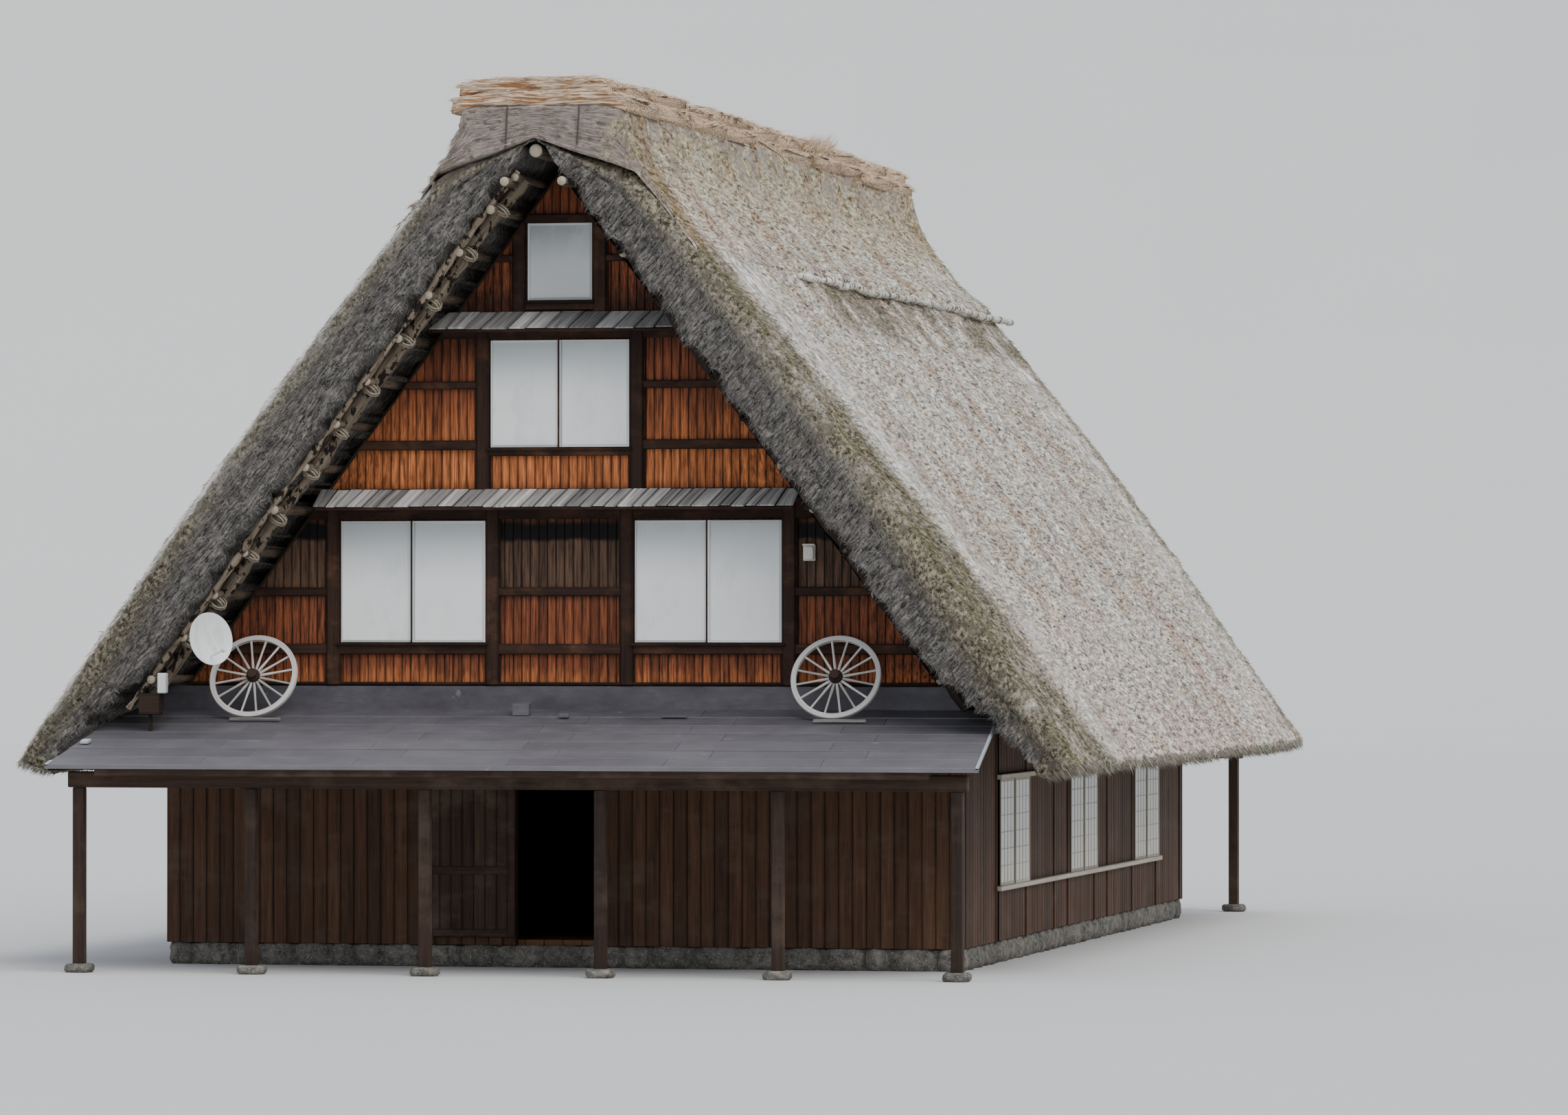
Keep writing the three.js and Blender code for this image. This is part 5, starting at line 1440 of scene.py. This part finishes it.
# The porch roof is folded sheet metal over boards, faded to a grey purple: courses about 0.36 m
# deep overlap down the slope, pale trims cover its edges, and an apron of the same sheet stands
# against the wall.
PORCH_OUT = 2.49
PORCH_EAVE = 2.34
PORCH_HEAD = 2.95
PORCH_FALL = (PORCH_HEAD - PORCH_EAVE) / PORCH_OUT
PORCH_HALF = 5.3
PORCH_DECK = 0.06
PORCH_FRONT = -GABLE_Y - PORCH_OUT
PORCH_BACK = -GABLE_Y - 0.03
COURSES = 7
SHEETS = 6
SHEET_SHIFT = 0.45
TRIM = 0.04
APRON = ((-4.68, -GABLE_Y - 0.038, 2.9), (4.68, -GABLE_Y - 0.002, 3.19))
VERGE_LINE = -ROOF_END - 0.03


def porch_finish():
    """Faded painted sheet: cloudy greys with paler spots. It is paler towards the eave and darker up by the
    wall under the thatch, as painted shade.
    """
    finish = Finish("porch_sheet", 0.5)
    finish.shader.inputs["Metallic"].default_value = 0.25
    clouds = finish.clouds((0.5, 0.3, 0.3), 7.0)
    colour = finish.over(clouds, 0.35, 0.7, (84, 81, 87), (112, 109, 113))
    colour = finish.over(finish.clouds((0.3, 0.05, 0.05)), 0.5, 0.75, colour, (92, 87, 90))
    colour = finish.over(finish.clouds(0.16), 0.66, 0.72, colour, (128, 123, 126))
    # Painted shade: darker up by the wall under the thatch, paler towards the eave.
    colour = finish.over(finish.along_axis(2), 2.96, 2.5, colour, finish.blend(0.5, colour, (130, 127, 130)))
    finish.colour(finish.shaded(colour, finish.tinted(0.9, 1.08)))
    finish.relief(clouds, 0.006)
    return finish


def down_porch(shape):
    """Tilts a level shape onto the porch roof: its height is measured up from the roof's upper
    face, which falls away from the wall in a straight line."""
    x, y, z = shape["points"].T
    return moved(shape, x, y, z + (PORCH_HEAD + (y + GABLE_Y) * PORCH_FALL))


def under_thatch(shape):
    """Lays a shape on the porch roof and narrows it towards the wall, so that its sides end
    under the thatch's inner face."""
    shape = down_porch(shape)
    x, y, z = shape["points"].T
    reach = np.interp(z, (2.22, 2.83, 3.217), (5.7, 5.14, 4.6)) - 0.02
    reach = np.where(y > VERGE_LINE, reach, PORCH_HALF)
    return moved(shape, np.clip(x * (1 - 0.015 * (y - PORCH_FRONT)), -reach, reach), y, z)


course_cuts = np.linspace(PORCH_FRONT, PORCH_BACK, COURSES + 1)
sheet_pairs = []
for number, (front, back) in enumerate(zip(course_cuts[:-1], course_cuts[1:])):
    odd, inner = number % 2, number < COURSES - 1
    cuts = np.linspace(-PORCH_HALF, PORCH_HALF, SHEETS + 1)
    cuts[1:-1] += SHEET_SHIFT * odd
    for left, right in zip(cuts[:-1], cuts[1:]):
        sheet_pairs.append(((left + 0.002, front + 0.003, -0.034),
                            (right - 0.002, back + 0.02 * inner, -0.012 - 0.006 * odd)))
sheet_pairs.append(((-PORCH_HALF, PORCH_FRONT, -PORCH_DECK), (PORCH_HALF, PORCH_FRONT + 0.022, -0.008)))
sheets = under_thatch(sawn(*zip(*sheet_pairs), 0.004))
deck = under_thatch(sawn([(-PORCH_HALF + 0.01, PORCH_FRONT + 0.024, -PORCH_DECK)],
                         [(PORCH_HALF - 0.01, PORCH_BACK, -0.035)], 0.004, 0.3))
seams = under_thatch(sawn([(-PORCH_HALF, y - 0.006, -0.022) for y in course_cuts[1:-1]],
                          [(PORCH_HALF, y + 0.008, -0.006) for y in course_cuts[1:-1]], 0.006))
# The apron takes the darkest tint, as painted shade against the wall under the thatch.
apron = sawn(*APRON, 0.006, 0.0)
trims = under_thatch(sawn(
    [(-PORCH_HALF, PORCH_FRONT, -0.03), (PORCH_HALF - TRIM, PORCH_FRONT, -0.03)],
    [(TRIM - PORCH_HALF, PORCH_FRONT + 0.16, 0.0), (PORCH_HALF, -8.35, 0.0)], 0.006))

# A few scraps of sheet lie on it, and a small pale one near its left corner.
scraps = under_thatch(sawn([(-0.48, -7.98, 0.001), (0.1, -8.06, 0.001), (1.32, -8.04, 0.001)],
                           [(-0.28, -7.86, 0.13), (0.22, -8.0, 0.04), (1.62, -7.98, 0.014)], 0.004, 1.0))
corner_scrap = under_thatch(sawn((-5.22, -9.26, 0.001), (-5.12, -9.16, 0.035), 0.004))
sheet_metal = porch_finish()
trim_metal = wood_finish("pale_trim", (150, 152, 158), (202, 206, 212), roughness=0.5, depth=0.001)
porch_sheets = gather(sheets, seams, apron, scraps)
add_at_both_ends("porch_sheets", porch_sheets, sheet_metal, "porch_roof")
add_at_both_ends("porch_trims", gather(trims, corner_scrap), trim_metal)
add_at_both_ends("porch_deck", deck, wall_wood)

# The porch stands on six squared posts, each on a rounded stone, with a beam on their heads.
# Seven rafters run from the beam to a ledger on the wall, behind a fascia board.
POST_XS = (-5.0, -3.0, -1.0, 1.0, 3.0, 5.0)
PORCH_POST = 0.07
POST_BODY = PORCH_POST - 0.006
BEAM_DEEP = 0.18
PLINTH = 0.1
PLINTH_HALF = (0.16, 0.15, PLINTH / 2 * 1.15)
RAFTER_XS = (-4.7, -3.133, -1.567, 0.0, 1.567, 3.133, 4.7)
RAFTER_FRONT = PORCH_FRONT + 0.06
RAFTER_BACK = -GABLE_Y - GAP
UNDER_DECK = -PORCH_DECK - GAP
(beam_left, beam_y0, _), (beam_right, beam_y1, beam_top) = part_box("front_porch_posts")
post_y = (beam_y0 + beam_y1) / 2
posts = sawn([(x - POST_BODY, post_y - POST_BODY, PLINTH - 0.02) for x in POST_XS],
             [(x + POST_BODY, post_y + POST_BODY, beam_top - BEAM_DEEP) for x in POST_XS], 0.01)
beam = sawn((beam_left, post_y - PORCH_POST, beam_top - BEAM_DEEP),
            (beam_right, post_y + PORCH_POST, beam_top), 0.012)
plinths = boulders(np.array([(x, post_y, PLINTH / 2) for x in POST_XS]), np.tile(PLINTH_HALF, (6, 1)))
plinths["points"][:, 2] = np.clip(plinths["points"][:, 2], 0, PLINTH)
rafters = down_porch(sawn([(x - 0.04, RAFTER_FRONT + 0.03, -PORCH_DECK - 0.1) for x in RAFTER_XS],
                          [(x + 0.04, RAFTER_BACK, UNDER_DECK) for x in RAFTER_XS], 0.006))
ledger = down_porch(sawn((-4.5, RAFTER_BACK - 0.06, -PORCH_DECK - 0.2),
                         (4.5, RAFTER_BACK, -PORCH_DECK - 0.012), 0.006))
fascia = down_porch(sawn((-4.74, RAFTER_FRONT, -PORCH_DECK - 0.095),
                         (4.74, RAFTER_FRONT + 0.03, UNDER_DECK), 0.006))
add_at_both_ends("porch_uprights", gather(posts, beam), dark_timber, "porch_posts")
add_at_both_ends("porch_plinths", plinths, stone, smooth=True)
add_at_both_ends("porch_rafter_set", gather(rafters, ledger, fascia), dark_timber, "porch_rafters")

# The two cart wheels are old bleached oak: a hub turned on a lathe, sixteen tapered spokes and a
# rim of curved felloes. Each leans on the gable frame, with its foot behind a batten.
SPOKES = 16
WHEEL_LEAN = math.radians(26.5)
WHEEL_ROUND = 96
HUB_ROUND = 28
FOOT_BACK = 0.045
RIM_OUT, RIM_IN, RIM_HALF, RIM_ROUND = 0.515, 0.457, 0.025, 0.006
RIM = [(RIM_IN, RIM_HALF), (RIM_IN, -RIM_HALF), (RIM_IN + RIM_ROUND, -RIM_HALF),
       (RIM_OUT - RIM_ROUND, -RIM_HALF), (RIM_OUT, RIM_ROUND - RIM_HALF),
       (RIM_OUT, RIM_HALF - RIM_ROUND), (RIM_OUT - RIM_ROUND, RIM_HALF)]
HUB = ((0.05, -0.105), (0.058, -0.1), (0.06, -0.07), (0.078, -0.045),
       (0.08, 0.045), (0.06, 0.07), (0.058, 0.1), (0.05, 0.105))
SPOKE_PLACES = (0.07, 0.16, 0.3, 0.46)
SPOKE_RADII = (0.0145, 0.0155, 0.0115, 0.013)


def turned_on_lathe(profile, sides, closed=False, tint=0.5):
    """A profile of (radius, y) carried round the Y axis. Closed profiles run round a hoop's
    section. Places are radius * sin(turn), y, radius * cos(turn)."""
    profile = np.asarray(profile, float)
    turn = np.linspace(0, 2 * math.pi, sides, endpoint=False)
    radius = profile[:, :1] + 0 * turn
    points = side_by_side(radius * np.sin(turn), profile[:, 1:], radius * np.cos(turn))
    faces = tube_faces(len(profile), sides)
    if closed:
        grid = np.arange(radius.size).reshape(radius.shape)
        turned = np.roll(grid, -1, axis=1)
        corners = [grid, turned, np.roll(turned, -1, axis=0), np.roll(grid, -1, axis=0)]
        faces = [np.stack(corners, axis=-1).reshape(-1, 4)]
    grain = side_by_side(radius * 2, turn * profile[:, 0].max())
    return make_shape(points, faces, grain, tint=tint, end=0, across=0.5)


def tilted(shape, lean):
    """The shape turned about X, so that what faces -Y looks up for a positive lean."""
    x, y, z = shape["points"].T
    up, out = math.sin(lean), math.cos(lean)
    return moved(shape, x, y * out + z * up, z * out - y * up)


def shifted(shape, place):
    """The shape carried to a place."""
    return {**shape, "points": shape["points"] + place}


def spokes_of_wheel():
    """Tapered round spokes from the hub into the rim, evenly turned about the Y axis."""
    reach = np.linspace(0.07, RIM_IN + 0.008, 9)[:, None]
    turns = (np.arange(SPOKES) + 0.5) * 2 * math.pi / SPOKES
    paths = [np.array([math.sin(turn), 0.0, math.cos(turn)]) * reach for turn in turns]
    radii = np.interp(reach[:, 0], SPOKE_PLACES, SPOKE_RADII)
    return poles(paths, radii, 8, shut=0.001)


wheel_oak = wood_finish("bleached_oak", (150, 145, 138), (240, 236, 230), depth=0.003)
for name in ("cart_wheel_left", "cart_wheel_right"):
    wheel_low, wheel_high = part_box(name)
    centre = (wheel_low + wheel_high) / 2
    foot_y = centre[1] - RIM_OUT * math.sin(WHEEL_LEAN) - FOOT_BACK
    batten = down_porch(sawn((centre[0] - 0.2, foot_y - 0.035, GAP), (centre[0] + 0.4, foot_y, 0.026), 0.004))
    wheel = gather(turned_on_lathe(RIM, WHEEL_ROUND, closed=True, tint=0.7), spokes_of_wheel())
    hub = turned_on_lathe(HUB, HUB_ROUND, tint=0.15)
    add_piece(name + "_oak", shifted(tilted(wheel, WHEEL_LEAN), centre), wheel_oak, name)
    add_piece(name + "_hub", shifted(tilted(hub, WHEEL_LEAN), centre), dark_timber)
    add_piece(name + "_batten", batten, shingle)

# The dish is a pressed sheet bowl with a rolled rim, painted white. A square arm holds it to the left verge
# log, and a thin tube arm below it carries the receiver.
DISH_RADIUS, DISH_DEEP, DISH_SHEET = 0.3, 0.062, 0.01
DISH_PLACE = np.array([-3.73, -9.0, 3.72])
DISH_TURN, DISH_TILT = 0.94, 0.14
DISH_STEPS = 14
FEED_HEAD = [(0.012, -0.3), (0.026, -0.296), (0.028, -0.25), (0.02, -0.236), (0.012, -0.232)]


def aim_dish(shape):
    """Tilts a shape that faces -Y up, turns it about Z and carries it to the dish's place."""
    shape = tilted(shape, DISH_TILT)
    x, y, z = shape["points"].T
    aside, ahead = math.sin(DISH_TURN), math.cos(DISH_TURN)
    return shifted(moved(shape, x * ahead - y * aside, x * aside + y * ahead, z), DISH_PLACE)


half_r = np.linspace(0.004, 0.292, DISH_STEPS)
dish_r = np.concatenate([half_r, [0.297, 0.299, 0.297], np.linspace(0.292, 0.004, DISH_STEPS)])
dish_back = np.concatenate([np.zeros(DISH_STEPS), [0.001, 0.005, 0.009], np.full(DISH_STEPS, DISH_SHEET)])
dish_y = dish_back - DISH_DEEP * (dish_r / DISH_RADIUS) ** 2
bowl = turned_on_lathe(side_by_side(dish_r, dish_y), 56)
feed_arm = poles([straight((0, 0.004, -0.2), (0, -0.25, -0.16), 8)], 0.009, 8, 0.4, 0.002)
feed_head = shifted(turned_on_lathe(FEED_HEAD, 20, tint=0.6), (0, 0, -0.155))
dish_arm = sawn(DISH_PLACE + (-0.013, 0.02, -0.013), DISH_PLACE + (0.013, 0.57, 0.013), 0.004, 0.4)
dish_paint = Finish("dish_paint", 0.35)
dish_dirt = dish_paint.clouds((0.12, 0.12, 0.3))
dish_paint.colour(dish_paint.over(dish_dirt, 0.5, 0.8, (232, 233, 232), (196, 194, 186)))
dish_paint.relief(dish_dirt, 0.0008)
add_piece("dish_bowl", aim_dish(bowl), dish_paint, "satellite_dish", smooth=True)
add_piece("dish_arms", gather(aim_dish(feed_arm), aim_dish(feed_head), dish_arm), dish_paint)

# By the foot of the left verge a dark wooden box stands on a short post, which is nailed to the
# porch roof, with a small case of white painted sheet screwed to its corner.
dark_box = sawn([(-4.54, -8.66, 2.66), (-4.63, -8.74, 2.87)], [(-4.5, -8.62, 2.87), (-4.39, -8.58, 3.11)],
                0.006, 0.0)
box_case = sawn((-4.41, -8.74, 3.111), (-4.31, -8.64, 3.34), 0.01, 0.8)
add_piece("verge_box_dark", dark_box, dark_timber)
add_piece("verge_box_case", box_case, dish_paint)

# The lamp is a small moulded housing screwed to a board of the gable, with a hood and a milky
# cover, all of the same off-white plastic.
LAMP_X0, LAMP_X1 = 2.82, 2.96
LAMP_TOP = 4.796
COVER_MIDDLE = np.array([2.89, 0.0, 4.70]) + (0, FRAME_FACE - 0.042, -0.008)
COVER_HALF = (0.06, 0.034, 0.08)
COVER_RINGS, COVER_SIDES = 14, 28
lamp_shell = sawn((LAMP_X0, FRAME_FACE - 0.034, 4.604), (LAMP_X1, FRAME_FACE, LAMP_TOP), 0.008, 0.5)
lamp_hood = sawn((LAMP_X0, FRAME_FACE - 0.078, 4.776), (LAMP_X1, FRAME_FACE - 0.03, LAMP_TOP), 0.005, 0.3)
cover = rounded_block(COVER_RINGS, COVER_SIDES, 5.0, 0.04) * COVER_HALF + COVER_MIDDLE
cover_faces = tube_faces(COVER_RINGS, COVER_SIDES)
lamp_cover = make_shape(cover, cover_faces, cover[..., :2], tint=0.5, end=0, across=0.5)
lamp_plastic = Finish("lamp_housing", 0.45)
lamp_age = lamp_plastic.clouds((0.03, 0.03, 0.06), 4.0)
lamp_plastic.colour(lamp_plastic.blend(lamp_age, (204, 200, 186), (234, 231, 220)))
lamp_plastic.relief(lamp_age, 0.0005)
add_piece("lamp_shell", gather(lamp_shell, lamp_hood), lamp_plastic, "wall_lamp")
add_piece("lamp_cover", lamp_cover, lamp_plastic, smooth=True)

# A plain pale floor that curls up far away, a soft high sun from the right, and a pale sky.
FLOOR_FLAT, FLOOR_REACH = 130.0, 190.0
FLOOR_SIDES = 96
floor_curl = np.linspace(FLOOR_FLAT, FLOOR_REACH, 20)[1:]
floor_r = np.concatenate([[0.5], np.linspace(4, FLOOR_FLAT, 12), floor_curl])
floor_z = np.where(floor_r > FLOOR_FLAT, (floor_r - FLOOR_FLAT) ** 2 / 60.0, 0.0)
floor_turn = np.linspace(0, 2 * math.pi, FLOOR_SIDES, endpoint=False)
floor_points = side_by_side(
    floor_r[:, None] * np.cos(floor_turn), floor_r[:, None] * np.sin(floor_turn), floor_z[:, None])
floor_grid = np.arange(len(floor_r) * FLOOR_SIDES).reshape(-1, FLOOR_SIDES)
floor_next = np.roll(floor_grid, -1, axis=1)
floor_faces = np.stack([floor_grid[:-1], floor_grid[1:], floor_next[1:], floor_next[:-1]], axis=-1)
floor_faces = [*floor_faces.reshape(-1, 4).tolist(), floor_grid[0].tolist()]
floor_mesh = bpy.data.meshes.new("studio_floor")
floor_mesh.from_pydata(floor_points.reshape(-1, 3).tolist(), [], floor_faces)
floor_paint = Finish("studio_floor", 0.95)
floor_paint.colour(floor_paint.blend(floor_paint.clouds(9.0, 2.0), (206, 205, 202), (210, 209, 206)))
floor_mesh.materials.append(floor_paint.material)
floor = bpy.data.objects.new("studio_floor", floor_mesh)
bpy.context.scene.collection.objects.link(floor)

sun_lamp = bpy.data.lights.new("studio_sun", "SUN")
sun_lamp.energy = 2.5
sun_lamp.angle = math.radians(50)
sun_lamp.color = (1.0, 0.975, 0.94)
sun = bpy.data.objects.new("studio_sun", sun_lamp)
sun.rotation_euler = (math.radians(38), 0.0, math.radians(52))
bpy.context.scene.collection.objects.link(sun)
sky = bpy.data.worlds.new("studio_sky")
sky.use_nodes = True
sky_light = sky.node_tree.nodes["Background"].inputs
sky_light["Color"].default_value = (0.78, 0.86, 1.0, 1.0)
sky_light["Strength"].default_value = 0.95
bpy.context.scene.world = sky

# The camera stands where the photographer stood, far off and a little to the right of the front
# gable, and frames the house alone.
EYE = (20.0917, -87.0267, 3.9375)
TARGET = (0.92, 0.0, 4.71)
lens = bpy.data.cameras.new("camera")
lens.lens = 166.0
lens.sensor_width = 36.0
lens.clip_end = 600.0
camera = bpy.data.objects.new("camera", lens)
camera.location = EYE
toward = [b - a for a, b in zip(EYE, TARGET)]
camera.rotation_euler = (math.pi / 2 + math.atan2(toward[2], math.hypot(toward[0], toward[1])), 0.0,
                         math.atan2(-toward[0], toward[1]))
bpy.context.scene.collection.objects.link(camera)
bpy.context.scene.camera = camera
